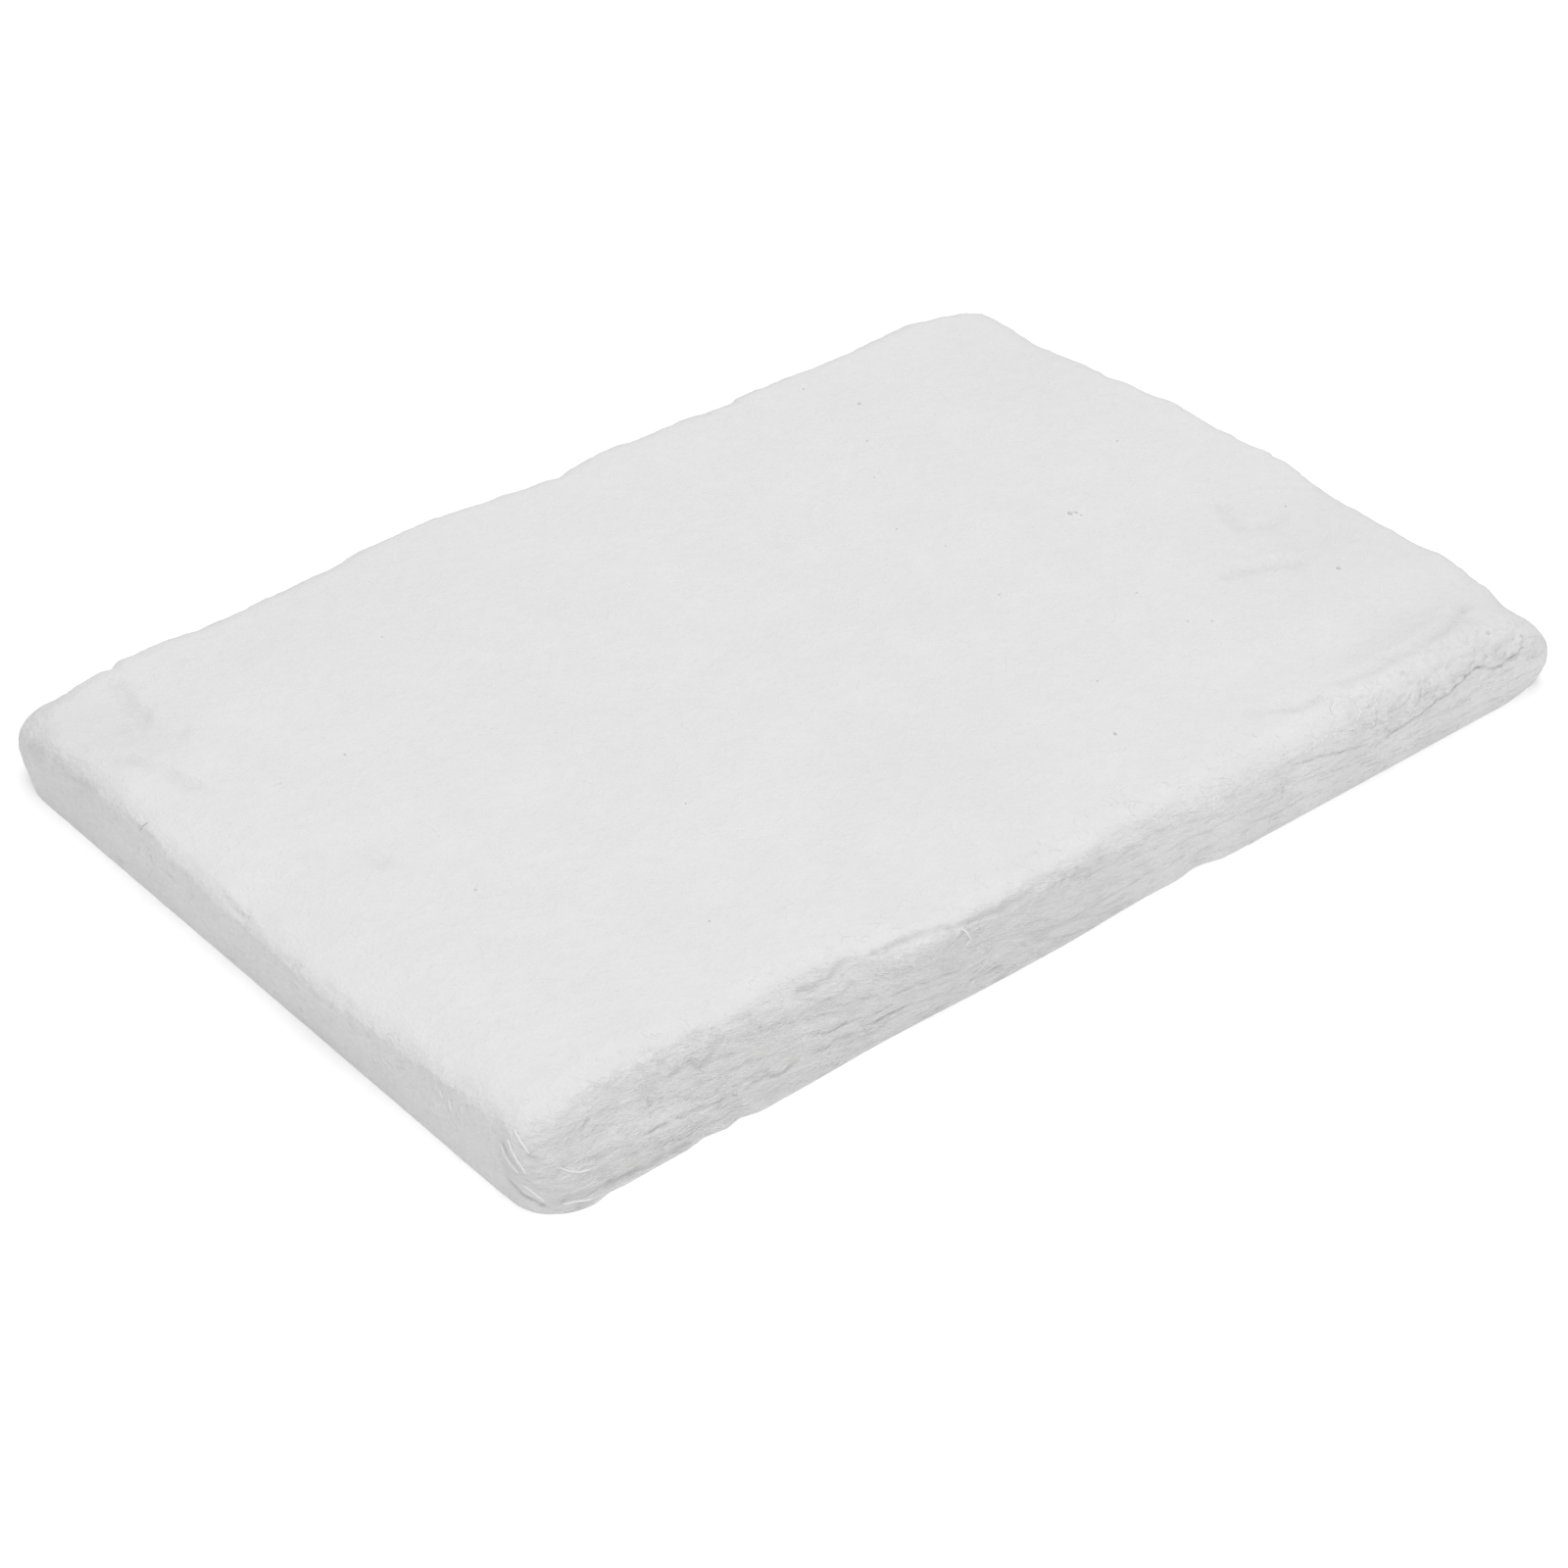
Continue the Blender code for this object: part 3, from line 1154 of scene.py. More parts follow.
    def masks(self, point: Vector) -> tuple[float, float, float]:
        """Say how much of a place is wall, rim and top.

        Args:
            point: A point of the plain block.

        Returns:
            Three shares.
        """
        form = self.form
        depth = form.depth(point)
        over = point.z - (form.thickness - form.rim_radius)
        if depth > SNAP:
            over = form.rim_radius + depth
        wall = 1.0 - smooth_step(over / form.rim_radius - self.wall_share)
        rim = hump(abs(over / form.rim_radius - 1.0) / self.rim_share)
        level = smooth_step(over / form.rim_radius - self.level_share)
        return wall, rim, level

    def openness(self, point: Vector, normal: Vector) -> float:
        """Say how far a side's layers are torn open at a place, from 0 to 1.

        Args:
            point: A point of the main form.
            normal: The way out of the surface there.

        Returns:
            The share.
        """
        flat = math.hypot(normal.x, normal.y) + SNAP
        torn = smooth_step((-normal.y / flat - self.torn_turn) / self.torn_fade)
        around = 0.0
        if normal.x < 0.0:
            nearness = smooth_step((-point.y - self.corner_from) / self.corner_fade)
            around = self.corner_share * nearness
        return self.cut_side_relief + (1.0 - self.cut_side_relief) * max(torn, around)

    def displace(self, mesh: bmesh.types.BMesh, blocks: list[Vector]) -> dict[str, list[float]]:
        """Push the skin in and out by its relief.

        Args:
            mesh: The skin on the main form.
            blocks: Where each vertex was on the plain block.

        Returns:
            For each vertex, its painted shade and grey, how torn and how much of a knife-cut wall
            it is.
        """
        mesh.normal_update()
        carver = Carver(self.view, mesh)
        carver.carve()
        # painted shade and grey for each vertex, read by the fibre finish
        painted_shade_and_grey_values = [0.0] * len(mesh.verts)
        torns = [0.0] * len(mesh.verts)
        cuts = [0.0] * len(mesh.verts)
        places = []
        for vert in mesh.verts:
            point, normal, index = vert.co.copy(), vert.normal.copy(), vert.index
            if blocks[index].z < SNAP:
                places.append(point)
                continue
            wall, rim, level = self.masks(blocks[index])
            foot = smooth_step(blocks[index].z / self.foot_band)
            openness = self.openness(point, normal)
            push = sum(ripple.at(point) for ripple in TOP_RIPPLES) * level + carver.moves[index]
            crumbs = RIM_CRUMBS.at(point) + TORN_CRUMBS.at(point) * openness
            push += (RIM_LUMPS.at(point) + crumbs) * rim
            # painted shade: the marks' shade, and a band of it over the torn side's rim
            painted_shade_and_grey = carver.shades[index] + self.rim_shade * rim * openness
            if wall > 0.0:
                open_share = openness * wall * self.layers.strength(point.x)
                relief, crease = self.layers.relief(point)
                fuzz = sum(ripple.at(point) for ripple in KNIFE_RIPPLES)
                push += relief * open_share + fuzz * (wall - open_share)
                # painted shade in the creases of the open layers
                painted_shade_and_grey = max(painted_shade_and_grey, crease * open_share)
                # knife-cut walls are evenly darkened: partly their cut fibre ends' own tone, partly
                # painted shade
                painted_shade_and_grey += self.cut_shade * wall * (1.0 - openness)
                torns[index] = open_share
                cuts[index] = wall - open_share
            if carver.wool[index] > 0.0:
                curl, gap = self.curls.at(point)
                push += curl * carver.wool[index]
                # painted shade in the gaps between loose curls
                painted_shade_and_grey = max(painted_shade_and_grey, gap * carver.wool[index])
            # the patches add painted shade, and a darker tone on the top
            painted_shade_and_grey_values[index] = painted_shade_and_grey + carver.grey[index]
            share = self.foot_share + (1.0 - self.foot_share) * foot
            places.append(point + normal * (push * share))
        for vert, place in zip(mesh.verts, places):
            vert.co = place
            vert.co.z = max(vert.co.z, 0.0)
        return {"painted_shade_and_grey": painted_shade_and_grey_values, "torn": torns, "cut": cuts}

    def build(self) -> bpy.types.Object:
        """Make the skin.

        Returns:
            The finished skin as an object.
        """
        mesh = self.plain_block()
        self.unfold(mesh)
        mesh.verts.index_update()
        mesh.verts.ensure_lookup_table()
        blocks = [v.co.copy() for v in mesh.verts]
        for vert in mesh.verts:
            vert.co = self.form.shaped(self.form.rounded(vert.co))
        values = self.displace(mesh, blocks)
        data = finished_mesh("fibre_skin", mesh)
        for name, shares in values.items():
            data.attributes.new(name, "FLOAT", "POINT").data.foreach_set("value", shares)
        data.shade_smooth()
        return add_object("fibre_skin", data)


def fibres(
    name: str, trails: list[list[Vector]], thickness: float, roundness: int = 0
) -> bpy.types.Object:
    """Make thin fibres with tapered ends, all as one mesh object.

    Args:
        name: The object's name.
        trails: The points that each fibre passes.
        thickness: The radius of a fibre.
        roundness: How many steps round its section has beside the four corners.

    Returns:
        The object.
    """
    curve = bpy.data.curves.new(name, "CURVE")
    curve.dimensions = "3D"
    curve.bevel_depth = thickness
    curve.bevel_resolution = roundness
    curve.use_fill_caps = True
    for points in trails:
        spline = curve.splines.new("POLY")
        spline.points.add(len(points) - 1)
        for number, point in enumerate(points):
            spline.points[number].co = (*point, 1.0)
            ends = min(number, len(points) - 1 - number)
            spline.points[number].radius = FIBRE_TIP if ends == 0 else 1.0
    holder = add_object(name + "_curve", curve)
    graph = bpy.context.evaluated_depsgraph_get()
    data = bpy.data.meshes.new_from_object(holder.evaluated_get(graph))
    data.name = name
    bpy.data.objects.remove(holder)
    return add_object(name, data)


@dataclass(frozen=True)
class StrandKind:
    """A kind of loose fibre: how many, how long, how curly and how proud of the felt."""

    name: str
    count: int
    length: tuple[float, float]
    turn: float
    lift: float
    steps: int
    flatness: float
    thickness: float


TORN_SIDE_STRANDS = StrandKind(
    "torn_side_strands", 1500, (3 * MM, 9 * MM), 0.12, 0.08 * MM, 6, 0.5, 0.07 * MM
)
CUT_END_FIBRES = StrandKind(
    "cut_end_fibres", 260, (2 * MM, 5 * MM), 0.35, 0.07 * MM, 6, 1.0, 0.06 * MM
)
RIM_CURLS = StrandKind("rim_curls", 360, (2 * MM, 5 * MM), 0.45, 0.05 * MM, 7, 1.0, 0.05 * MM)
TOP_HAIRS = StrandKind("top_hairs", 300, (3 * MM, 8 * MM), 0.20, 0.0, 6, 1.0, 0.04 * MM)


@dataclass
class Strands:
    """Loose fibres that lie on the felt."""

    skin: bpy.types.Object
    form: SlabForm
    beside: float = 4 * MM
    torn_margin: float = 2 * MM
    torn_crowding: float = 1.3
    torn_heights: tuple[float, float] = (0.05, 0.97)
    torn_rise: float = 0.10
    cut_margin: float = 4 * MM
    cut_heights: tuple[float, float] = (0.08, 0.95)
    rim_margin: float = 4 * MM
    rim_band: float = 14 * MM
    top_margin: float = 6 * MM
    wavering: float = 0.5
    seed: int = 20

    def __post_init__(self) -> None:
        """Index the finished skin that the fibres lie on."""
        mesh = bmesh.new()
        mesh.from_mesh(self.skin.data)
        self.surface = BVHTree.FromBMesh(mesh)
        mesh.free()
        self.random = random.Random(self.seed)

    def start_on_torn_side(self) -> tuple[Vector, Vector]:
        """Pick a place outside the torn side, more often near its left end.

        Returns:
            The place and a heading along the side.
        """
        across = 2.0 * self.random.random() ** self.torn_crowding - 1.0
        z = self.random.uniform(*self.torn_heights) * self.form.thickness
        heading = Vector((self.random.choice((-1, 1)), 0.0, self.random.gauss(0.0, self.torn_rise)))
        x = across * (self.form.half_x - self.torn_margin)
        return Vector((x, -self.form.half_y - self.beside, z)), heading

    def start_on_cut_end(self) -> tuple[Vector, Vector]:
        """Pick a place outside the knife-cut end.

        Returns:
            The place and any heading.
        """
        y = self.random.uniform(-1.0, 1.0) * (self.form.half_y - self.cut_margin)
        z = self.random.uniform(*self.cut_heights) * self.form.thickness
        angle = self.random.uniform(0.0, math.tau)
        heading = Vector((0.0, math.cos(angle), math.sin(angle)))
        return Vector((-self.form.half_x - self.beside, y, z)), heading

    def start_above(self, x: float, y: float) -> tuple[Vector, Vector]:
        """Start above the slab.

        Args:
            x: Where along X.
            y: Where along Y.

        Returns:
            The place and any heading.
        """
        angle = self.random.uniform(0.0, math.tau)
        heading = Vector((math.cos(angle), math.sin(angle), 0.0))
        return Vector((x, y, self.form.thickness + self.beside)), heading

    def start_on_rim(self) -> tuple[Vector, Vector]:
        """Pick a place over the torn side's rim.

        Returns:
            The place and any heading.
        """
        x = self.random.uniform(-1.0, 1.0) * (self.form.half_x - self.rim_margin)
        return self.start_above(x, -self.form.half_y + self.random.uniform(0.0, self.rim_band))

    def start_on_top(self) -> tuple[Vector, Vector]:
        """Pick a place over the top.

        Returns:
            The place and any heading.
        """
        x = self.random.uniform(-1.0, 1.0) * (self.form.half_x - self.top_margin)
        y = self.random.uniform(-1.0, 1.0) * (self.form.half_y - self.top_margin)
        return self.start_above(x, y)

    def trail(self, kind: StrandKind, start: Vector, heading: Vector) -> list[Vector]:
        """Lay one fibre on the felt.

        Args:
            kind: The kind of fibre.
            start: A place beside the felt.
            heading: The way it runs at first.

        Returns:
            Its points.
        """
        length = self.random.uniform(*kind.length)
        bend = self.random.gauss(0.0, kind.turn)
        lift = kind.lift * self.random.random() ** 2
        place = start
        points = []
        for step in range(kind.steps + 1):
            near, normal, _, _ = self.surface.find_nearest(place)
            arch = math.sin(math.pi * step / kind.steps)
            point = near + normal * (lift * arch)
            point.z = max(point.z, kind.thickness)
            points.append(point)
            turn = bend + self.random.gauss(0.0, self.wavering * kind.turn)
            heading = heading + normal.cross(heading) * turn
            heading = heading - normal * heading.dot(normal)
            heading.z *= kind.flatness
            heading.normalize()
            place = near + heading * (length / kind.steps)
        return points

    def build(
        self, kind: StrandKind, starts: Callable[[], tuple[Vector, Vector]]
    ) -> bpy.types.Object:
        """Lay all fibres of one kind.

        Args:
            kind: The kind of fibre.
            starts: The method that picks where each fibre starts.

        Returns:
            The fibres as one object.
        """
        trails = [self.trail(kind, *starts()) for _ in range(kind.count)]
        return fibres(kind.name, trails, kind.thickness)


@dataclass(frozen=True)
class Wisps:
    """Fibres that lie along pixels of the photograph."""

    name: str
    thickness: float
    routes: tuple[tuple[Pixel, ...], ...]
    step: float = 2.5
    proud: float = 0.3
    roundness: int = 1

    def trail(self, view: PhotoView, surface: BVHTree, route: tuple[Pixel, ...]) -> list[Vector]:
        """Lay one fibre on the felt.

        Args:
            view: The photograph's view.
            surface: The finished skin.
            route: The pixels that it passes.

        Returns:
            Its points, half sunk in the felt.
        """
        points = []
        for start, end in zip(route, route[1:]):
            count = max(1, round(math.dist(start, end) / self.step))
            for number in range(count + (end == route[-1])):
                hit = view.on(surface, between(start, end, number / count))
                if hit:
                    points.append(hit[0] + hit[1] * self.thickness * self.proud)
        return points

    def build(self, view: PhotoView, surface: BVHTree) -> bpy.types.Object:
        """Return all the fibres as one object.

        Args:
            view: The photograph's view.
            surface: The finished skin.

        Returns:
            The object.
        """
        trails = [self.trail(view, surface, route) for route in self.routes]
        return fibres(self.name, trails, self.thickness, self.roundness)


CORNER_WISPS = Wisps(
    "corner_wisps",
    0.25 * MM,
    (
        ((511, 1166), (515, 1178), (521, 1188), (529, 1197)),
        ((518, 1162), (522, 1174), (529, 1186), (537, 1198)),
        ((524, 1152), (531, 1165), (540, 1177)),
        ((570, 1191), (580, 1195), (592, 1196), (603, 1193)),
        ((574, 1229), (588, 1226), (604, 1224)),
        ((534, 1209), (545, 1218), (556, 1226)),
        ((979, 947), (986, 951), (990, 958), (986, 965)),
        ((449, 1112), (452, 1121)),
        ((458, 1121), (461, 1133)),
        ((470, 1128), (472, 1136)),
        ((1360, 712), (1357, 722), (1362, 732)),
        ((1383, 717), (1388, 727), (1384, 736)),
    ),
)
STRAY_FIBRE = Wisps("stray_fibre", 0.10 * MM, (((143, 848), (146, 843), (151, 839)),))


@dataclass(frozen=True)
class Speck:
    """A bead of unspun melt in the felt, at a pixel of the photograph."""

    pixel: Pixel
    size: float
    squash: float = 0.5


SPECKS = (
    Speck((877, 412), 0.55 * MM),
    Speck((820, 397), 0.35 * MM),
    Speck((885, 450), 0.35 * MM),
    Speck((892, 487), 0.30 * MM),
    Speck((1140, 450), 0.35 * MM),
    Speck((915, 540), 0.30 * MM),
    Speck((1092, 524), 0.75 * MM),
    Speck((1098, 523), 0.55 * MM),
    Speck((1103, 526), 0.35 * MM),
    Speck((965, 557), 0.30 * MM),
    Speck((1020, 607), 0.35 * MM),
    Speck((1160, 605), 0.35 * MM),
    Speck((1212, 634), 0.35 * MM),
    Speck((1237, 634), 0.35 * MM),
    Speck((1120, 695), 0.35 * MM),
    Speck((1138, 749), 0.55 * MM),
    Speck((1366, 580), 0.65 * MM),
    Speck((1312, 517), 0.35 * MM),
    Speck((700, 820), 0.35 * MM),
    Speck((352, 770), 0.40 * MM),
    Speck((390, 650), 0.30 * MM),
    Speck((724, 940), 0.35 * MM),
    Speck((485, 908), 0.35 * MM),
    Speck((750, 1115), 0.70 * MM),
    Speck((1518, 646), 0.60 * MM),
    Speck((1552, 649), 0.60 * MM),
)


@dataclass(frozen=True)
class ShotBeads:
    """The small grey beads of unspun melt."""

    slimness: float = 0.8
    fineness: int = 2

    def build(self, view: PhotoView, surface: BVHTree) -> bpy.types.Object:
        """Return all beads as one object, each half sunk in the felt.

        Args:
            view: The photograph's view.
            surface: The finished skin.

        Returns:
            The object.
        """
        mesh = bmesh.new()
        for speck in SPECKS:
            place, normal = view.on(surface, speck.pixel)
            made = bmesh.ops.create_icosphere(
                mesh, subdivisions=self.fineness, radius=speck.size
            )["verts"]
            bmesh.ops.scale(mesh, vec=(1.0, self.slimness, speck.squash), verts=made)
            turn = normal.to_track_quat("Z", "Y").to_matrix()
            bmesh.ops.rotate(mesh, matrix=turn, verts=made)
            bmesh.ops.translate(mesh, vec=place, verts=made)
        data = finished_mesh("shot_beads", mesh)
        data.shade_smooth()
        return add_object("shot_beads", data)


class Signal:
    """A shader value. Sums on it add Math nodes."""

    def __init__(self, graph: "ShaderGraph", socket: bpy.types.NodeSocket) -> None:
        """Wrap a socket.

        Args:
            graph: The graph that the socket is in.
            socket: An output socket.
        """
        self.graph = graph
        self.socket = socket

    def maths(
        self, operation: str, first: "Signal | float", second: "Signal | float"
    ) -> "Signal":
        """Return the result of one Math node."""
        node = self.graph.node("ShaderNodeMath", {"operation": operation}, {0: first, 1: second})
        return Signal(self.graph, node.outputs[0])

    def __add__(self, other: "Signal | float") -> "Signal":
        """Return this plus other."""
        return self.maths("ADD", self, other)

    def __radd__(self, other: "Signal | float") -> "Signal":
        """Return other plus this."""
        return self.maths("ADD", other, self)

    def __sub__(self, other: "Signal | float") -> "Signal":
        """Return this less other."""
        return self.maths("SUBTRACT", self, other)

    def __rsub__(self, other: "Signal | float") -> "Signal":
        """Return other less this."""
        return self.maths("SUBTRACT", other, self)

    def __mul__(self, other: "Signal | float") -> "Signal":
        """Return this times other."""
        return self.maths("MULTIPLY", self, other)

    def __rmul__(self, other: "Signal | float") -> "Signal":
        """Return other times this."""
        return self.maths("MULTIPLY", other, self)

    def __abs__(self) -> "Signal":
        """Return this without its sign."""
        return self.maths("ABSOLUTE", self, 0.0)


@dataclass(frozen=True)
class Pattern:
    """One scale of a finish's pattern, and how far it brightens and lifts the surface.

    Scale is in swings per metre, detail counts finer copies and rough is their strength.
    """

    scale: float
    detail: float
    rough: float
    bright: float = 0.0
    high: float = 0.0


class ShaderGraph:
    """The node tree of one material, built node by node."""

    def __init__(self, tree: bpy.types.NodeTree) -> None:
        """Keep an emptied tree.

        Args:
            tree: The material's node tree.
        """
        self.tree = tree
        tree.nodes.clear()

    def node(
        self, kind: str, settings: dict | None = None, inputs: dict | None = None
    ) -> bpy.types.Node:
        """Add one node.

        Args:
            kind: The node's type.
            settings: Its own settings, set first.
            inputs: Values or links for its sockets, by name or number.

        Returns:
            The new node.
        """
        node = self.tree.nodes.new(kind)
        for name, value in (settings or {}).items():
            setattr(node, name, value)
        for name, value in (inputs or {}).items():
            socket = node.inputs[name]
            if isinstance(value, Signal):
                self.tree.links.new(value.socket, socket)
            elif isinstance(value, bpy.types.NodeSocket):
                self.tree.links.new(value, socket)
            else:
                socket.default_value = value
        return node

    def attribute(self, name: str) -> Signal:
        """Return one of the piece's own attributes."""
        node = self.node("ShaderNodeAttribute", {"attribute_name": name})
        return Signal(self, node.outputs["Fac"])

    def place(self) -> bpy.types.NodeSocket:
        """Return the object's own coordinates."""
        return self.node("ShaderNodeTexCoord").outputs["Object"]

    def noise(self, place: bpy.types.NodeSocket, pattern: Pattern) -> Signal:
        """Add a noise.

        Args:
            place: The coordinates it is read at.
            pattern: Its scale, detail and roughness.

        Returns:
            A value around 0.5.
        """
        node = self.node(
            "ShaderNodeTexNoise",
            {"noise_dimensions": "3D"},
            {
                "Vector": place,
                "Scale": pattern.scale,
                "Detail": pattern.detail,
                "Roughness": pattern.rough,
            },
        )
        return Signal(self, node.outputs["Fac"])

    def stretched(
        self, turn: tuple[float, float, float], scale: tuple[float, float, float]
    ) -> bpy.types.NodeSocket:
        """Turn the object's own coordinates and divide them by a scale.

        Args:
            turn: Turns about the three axes, in radians.
            scale: What each axis is divided by.

        Returns:
            The coordinates' socket.
        """
        mapping = self.node(
            "ShaderNodeMapping",
            {"vector_type": "TEXTURE"},
            {"Vector": self.place(), "Rotation": turn, "Scale": scale},
        )
        return mapping.outputs["Vector"]

    def layered(self, dip: float, squeeze: float) -> bpy.types.NodeSocket:
        """Lay slanting layers level in the object's own coordinates, and squeeze them.

        Args:
            dip: How much the layers fall for each metre along X.
            squeeze: How much finer a pattern is through the layers than along them.

        Returns:
            The coordinates' socket.
        """
        parts = self.node("ShaderNodeSeparateXYZ", {}, {"Vector": self.place()})
        along, upward = Signal(self, parts.outputs["X"]), Signal(self, parts.outputs["Z"])
        level = (upward + along * dip) * squeeze
        joined = self.node(
            "ShaderNodeCombineXYZ", {}, {"X": along, "Y": parts.outputs["Y"], "Z": level}
        )
        return joined.outputs["Vector"]

    def surface(self, inputs: dict) -> None:
        """End the graph with one Principled shader."""
        shader = self.node("ShaderNodeBsdfPrincipled", {}, inputs)
        self.node("ShaderNodeOutputMaterial", {}, {"Surface": shader.outputs["BSDF"]})


def blank_material(name: str) -> tuple[bpy.types.Material, ShaderGraph]:
    """Make a material with an empty graph.

    Args:
        name: Its name.

    Returns:
        The material and its graph.
    """
    material = bpy.data.materials.new(name)
    material.use_nodes = True
    return material, ShaderGraph(material.node_tree)


@dataclass(frozen=True)
class FibreFinish:
    """Matt white needled fibre: soft mottling, crossing hairs and painted shade in the clefts."""

    light: tuple[float, float, float, float] = (0.815, 0.815, 0.815, 1.0)
    # the dark end of the colour, reached by painted shade in clefts and by random tone
    shade: tuple[float, float, float, float] = (0.46, 0.46, 0.46, 1.0)
    evenly_dark: float = 0.11
    roughness: float = 0.95
    specular: float = 0.2
    bump_depth: float = 0.30 * MM
    bump_strength: float = 1.0
    dip: float = 0.14
    mottle: Pattern = Pattern(70.0, 3.0, 0.6, bright=0.13)
    tufts: Pattern = Pattern(300.0, 3.0, 0.6, bright=0.12, high=1.3)
    grain: Pattern = Pattern(1300.0, 2.0, 0.6, bright=0.07, high=0.5)
    fuzz: Pattern = Pattern(700.0, 3.0, 0.7, bright=0.40, high=1.6)
    sheets: Pattern = Pattern(210.0, 4.0, 0.7, bright=0.50, high=1.6)
    sheet_squeeze: float = 8.0
    threads: Pattern = Pattern(620.0, 3.0, 0.7)
    thread_squeeze: float = 7.0
    thread_share: float = 0.7
    hair: Pattern = Pattern(150.0, 2.0, 0.6, high=0.25)
    hair_turns: tuple[tuple[float, float, float], ...] = (
        (0.2, 0.1, 0.3),
        (-0.3, 0.1, 1.4),
        (0.4, 0.1, 2.5),
    )
    hair_stretch: tuple[float, float, float] = (1.0, 0.16, 0.16)
    hair_thinness: float = 6.0
    hair_share: float = 0.33
    # how strongly the skin's painted shade and grey darken the colour
    painted_shade_and_grey_dark: float = 0.60

    def hairs(self, graph: ShaderGraph) -> Signal:
        """Draw thin crossing lines.

        Args:
            graph: The material's graph.

        Returns:
            A value that is highest along each hair.
        """
        total: Signal | None = None
        for turn in self.hair_turns:
            place = graph.stretched(turn, self.hair_stretch)
            line = 1.0 - abs(graph.noise(place, self.hair) - 0.5) * self.hair_thinness
            total = line if total is None else total + line
        return total * self.hair_share

    def material(self) -> bpy.types.Material:
        """Make the material.

        Returns:
            The finished material.
        """
        material, graph = blank_material("ceramic_fibre")
        place = graph.place()
        mottle = graph.noise(place, self.mottle) - 0.5
        tufts = graph.noise(place, self.tufts) - 0.5
        grain = graph.noise(place, self.grain) - 0.5
        sheets = graph.noise(graph.layered(self.dip, self.sheet_squeeze), self.sheets) - 0.5
        threads = graph.noise(graph.layered(self.dip, self.thread_squeeze), self.threads) - 0.5
        streaks = (sheets + threads * self.thread_share) * graph.attribute("torn")
        fuzz = (graph.noise(place, self.fuzz) - 0.5) * graph.attribute("cut")
        hairs = self.hairs(graph)
        # painted shade and grey from the skin darken the colour, besides random mottling
        dark = graph.attribute("painted_shade_and_grey") * self.painted_shade_and_grey_dark + self.evenly_dark
        height = hairs * self.hair.high
        for value, pattern in ((mottle, self.mottle), (tufts, self.tufts), (grain, self.grain)):
            dark = dark - value * pattern.bright
        dark = dark - streaks * self.sheets.bright - fuzz * self.fuzz.bright
        height = height + grain * self.grain.high + tufts * self.tufts.high
        height = height + streaks * self.sheets.high + fuzz * self.fuzz.high
        colour = graph.node(
            "ShaderNodeMix",
            {"data_type": "RGBA", "clamp_factor": True},
            {"Factor": dark, 6: self.light, 7: self.shade},
        )
        bump = graph.node(
            "ShaderNodeBump",
            {},
            {"Strength": self.bump_strength, "Distance": self.bump_depth, "Height": height},
        )
        graph.surface(
            {
                "Base Color": colour.outputs[2],
                "Roughness": self.roughness,
                "Specular IOR Level": self.specular,
                "Normal": bump.outputs["Normal"],
            }
        )
        material.diffuse_color = self.light
        return material


@dataclass(frozen=True)
class ThreadFinish:
    """A loose fibre or a bead: one tone with a little variation along it."""

    name: str
    light: tuple[float, float, float, float]
    shade: tuple[float, float, float, float]
    roughness: float
    specular: float = 0.2
    tone: Pattern = Pattern(420.0, 2.0, 0.6)

    def material(self) -> bpy.types.Material:
        """Make the material.

        Returns:
            The finished material.
        """
        material, graph = blank_material(self.name)
        tone = graph.noise(graph.place(), self.tone)
        colour = graph.node(
            "ShaderNodeMix",
            {"data_type": "RGBA"},
            {"Factor": tone, 6: self.light, 7: self.shade},
        )
        graph.surface(
            {
                "Base Color": colour.outputs[2],
                "Roughness": self.roughness,
                "Specular IOR Level": self.specular,
            }
        )
        material.diffuse_color = self.light
        return material


LOOSE_FIBRE = ThreadFinish("loose_fibre", (0.82, 0.82, 0.82, 1.0), (0.76, 0.76, 0.76, 1.0), 0.9)
DARK_FIBRE = ThreadFinish("dark_fibre", (0.38, 0.38, 0.38, 1.0), (0.48, 0.48, 0.48, 1.0), 0.8)
SHOT_BEAD = ThreadFinish("shot_bead", (0.56, 0.56, 0.56, 1.0), (0.66, 0.66, 0.66, 1.0), 0.6)


@dataclass(frozen=True)
class FloorFinish:
    """Plain pale studio floor, faintly lit from below so that shadows stay soft."""

    colour: tuple[float, float, float, float] = (0.97, 0.97, 0.97, 1.0)
    roughness: float = 0.9
    glow: float = 0.15
    specular: float = 0.0

    def material(self) -> bpy.types.Material:
        """Make the material.

        Returns:
            The finished material.
        """
        material, graph = blank_material("pale_floor")
        graph.surface(
            {
                "Base Color": self.colour,
                "Roughness": self.roughness,
                "Specular IOR Level": self.specular,
                "Emission Color": self.colour,
                "Emission Strength": self.glow,
            }
        )
        return material


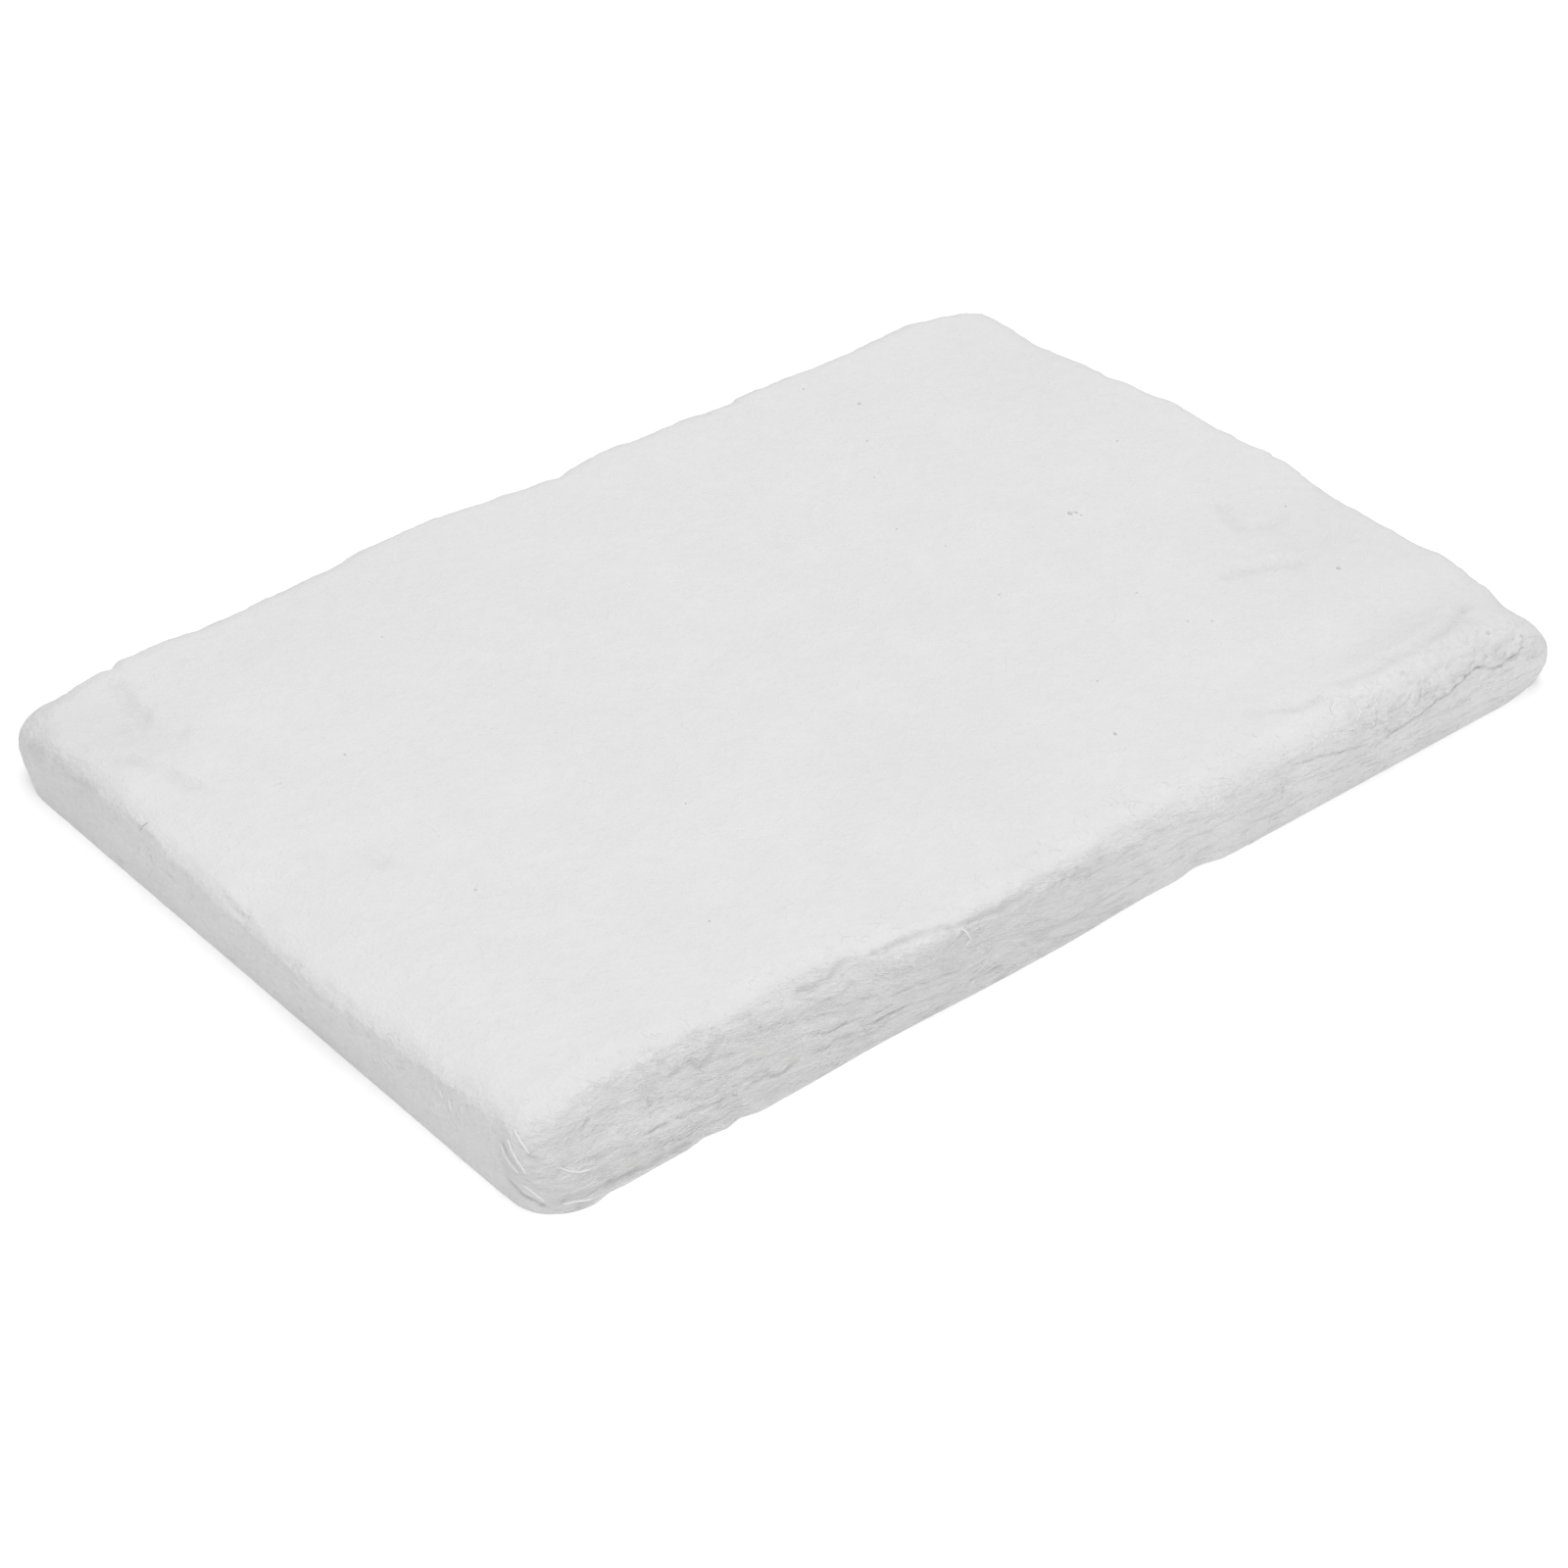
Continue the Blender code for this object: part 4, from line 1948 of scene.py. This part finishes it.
@dataclass
class Studio:
    """The floor and the soft light."""

    floor_size: float = 12.0
    key_size: float = 3.6
    key_height: float = 3.1
    key_power: float = 80.0
    fill_size: float = 2.4
    fill_distance: float = 3.0
    fill_turn: float = math.radians(-21.0)
    fill_rise: float = math.radians(28.0)
    fill_power: float = 24.0
    back_turn: float = math.radians(140.0)
    back_rise: float = math.radians(38.0)
    back_power: float = 8.0
    sky: float = 0.28

    def floor(self) -> bpy.types.Object:
        """Lay a wide pale floor under the slab.

        Returns:
            The floor.
        """
        mesh = bmesh.new()
        bmesh.ops.create_grid(mesh, x_segments=1, y_segments=1, size=self.floor_size / 2)
        data = finished_mesh("floor", mesh)
        data.materials.append(FloorFinish().material())
        floor = add_object("floor", data)
        return floor

    def softbox(self, name: str, size: float, power: float, place: Vector) -> None:
        """Hang one square softbox that faces the slab.

        Args:
            name: The lamp's name.
            size: Its width.
            power: Its power in watts.
            place: Where it hangs.
        """
        lamp = bpy.data.lights.new(name, "AREA")
        lamp.shape = "SQUARE"
        lamp.size = size
        lamp.energy = power
        box = add_object(name, lamp)
        box.location = place
        box.rotation_euler = place.to_track_quat("Z", "Y").to_euler()

    def around(self, turn: float, rise: float) -> Vector:
        """Find a place around the slab.

        Args:
            turn: Its azimuth in radians, 0 in front of the torn side.
            rise: Its elevation in radians.

        Returns:
            The place, at the softboxes' distance.
        """
        level = Vector((math.sin(turn), -math.cos(turn), 0.0)) * math.cos(rise)
        return (level + Vector((0.0, 0.0, math.sin(rise)))) * self.fill_distance

    def light(self) -> None:
        """Light the scene from a pale sky, a large softbox overhead and weak ones around."""
        world = bpy.data.worlds.new("studio_sky")
        world.use_nodes = True
        background = world.node_tree.nodes["Background"]
        background.inputs["Color"].default_value = (1.0, 1.0, 1.0, 1.0)
        background.inputs["Strength"].default_value = self.sky
        bpy.context.scene.world = world
        above = Vector((0.0, 0.0, self.key_height))
        self.softbox("overhead_softbox", self.key_size, self.key_power, above)
        front = self.around(self.fill_turn, self.fill_rise)
        self.softbox("front_softbox", self.fill_size, self.fill_power, front)
        back = self.around(self.back_turn, self.back_rise)
        self.softbox("back_softbox", self.fill_size, self.back_power, back)
        bpy.context.scene.view_settings.view_transform = "Standard"


def settle(piece: bpy.types.Object, finish: bpy.types.Material) -> None:
    """Give a piece its finish and its body, and log its face count.

    Args:
        piece: The piece.
        finish: Its material.
    """
    piece.data.materials.append(finish)
    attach(piece, BODY)
    LOG.info("%s: %d faces", piece.name, len(piece.data.polygons))


def main() -> None:
    """Build every piece in order."""
    logging.basicConfig(level=logging.INFO, format="%(message)s")
    view = PhotoView()
    view.stand_camera()
    studio = Studio()
    studio.light()
    studio.floor()
    form = SlabForm()
    skin = FibreSkin(form, view).build()
    settle(skin, FibreFinish().material())
    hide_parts(NODE)
    strands = Strands(skin, form)
    thread = LOOSE_FIBRE.material()
    settle(strands.build(TORN_SIDE_STRANDS, strands.start_on_torn_side), thread)
    settle(strands.build(CUT_END_FIBRES, strands.start_on_cut_end), thread)
    settle(strands.build(RIM_CURLS, strands.start_on_rim), thread)
    settle(strands.build(TOP_HAIRS, strands.start_on_top), thread)
    settle(CORNER_WISPS.build(view, strands.surface), thread)
    settle(STRAY_FIBRE.build(view, strands.surface), DARK_FIBRE.material())
    settle(ShotBeads().build(view, strands.surface), SHOT_BEAD.material())


if __name__ == "__main__":
    main()
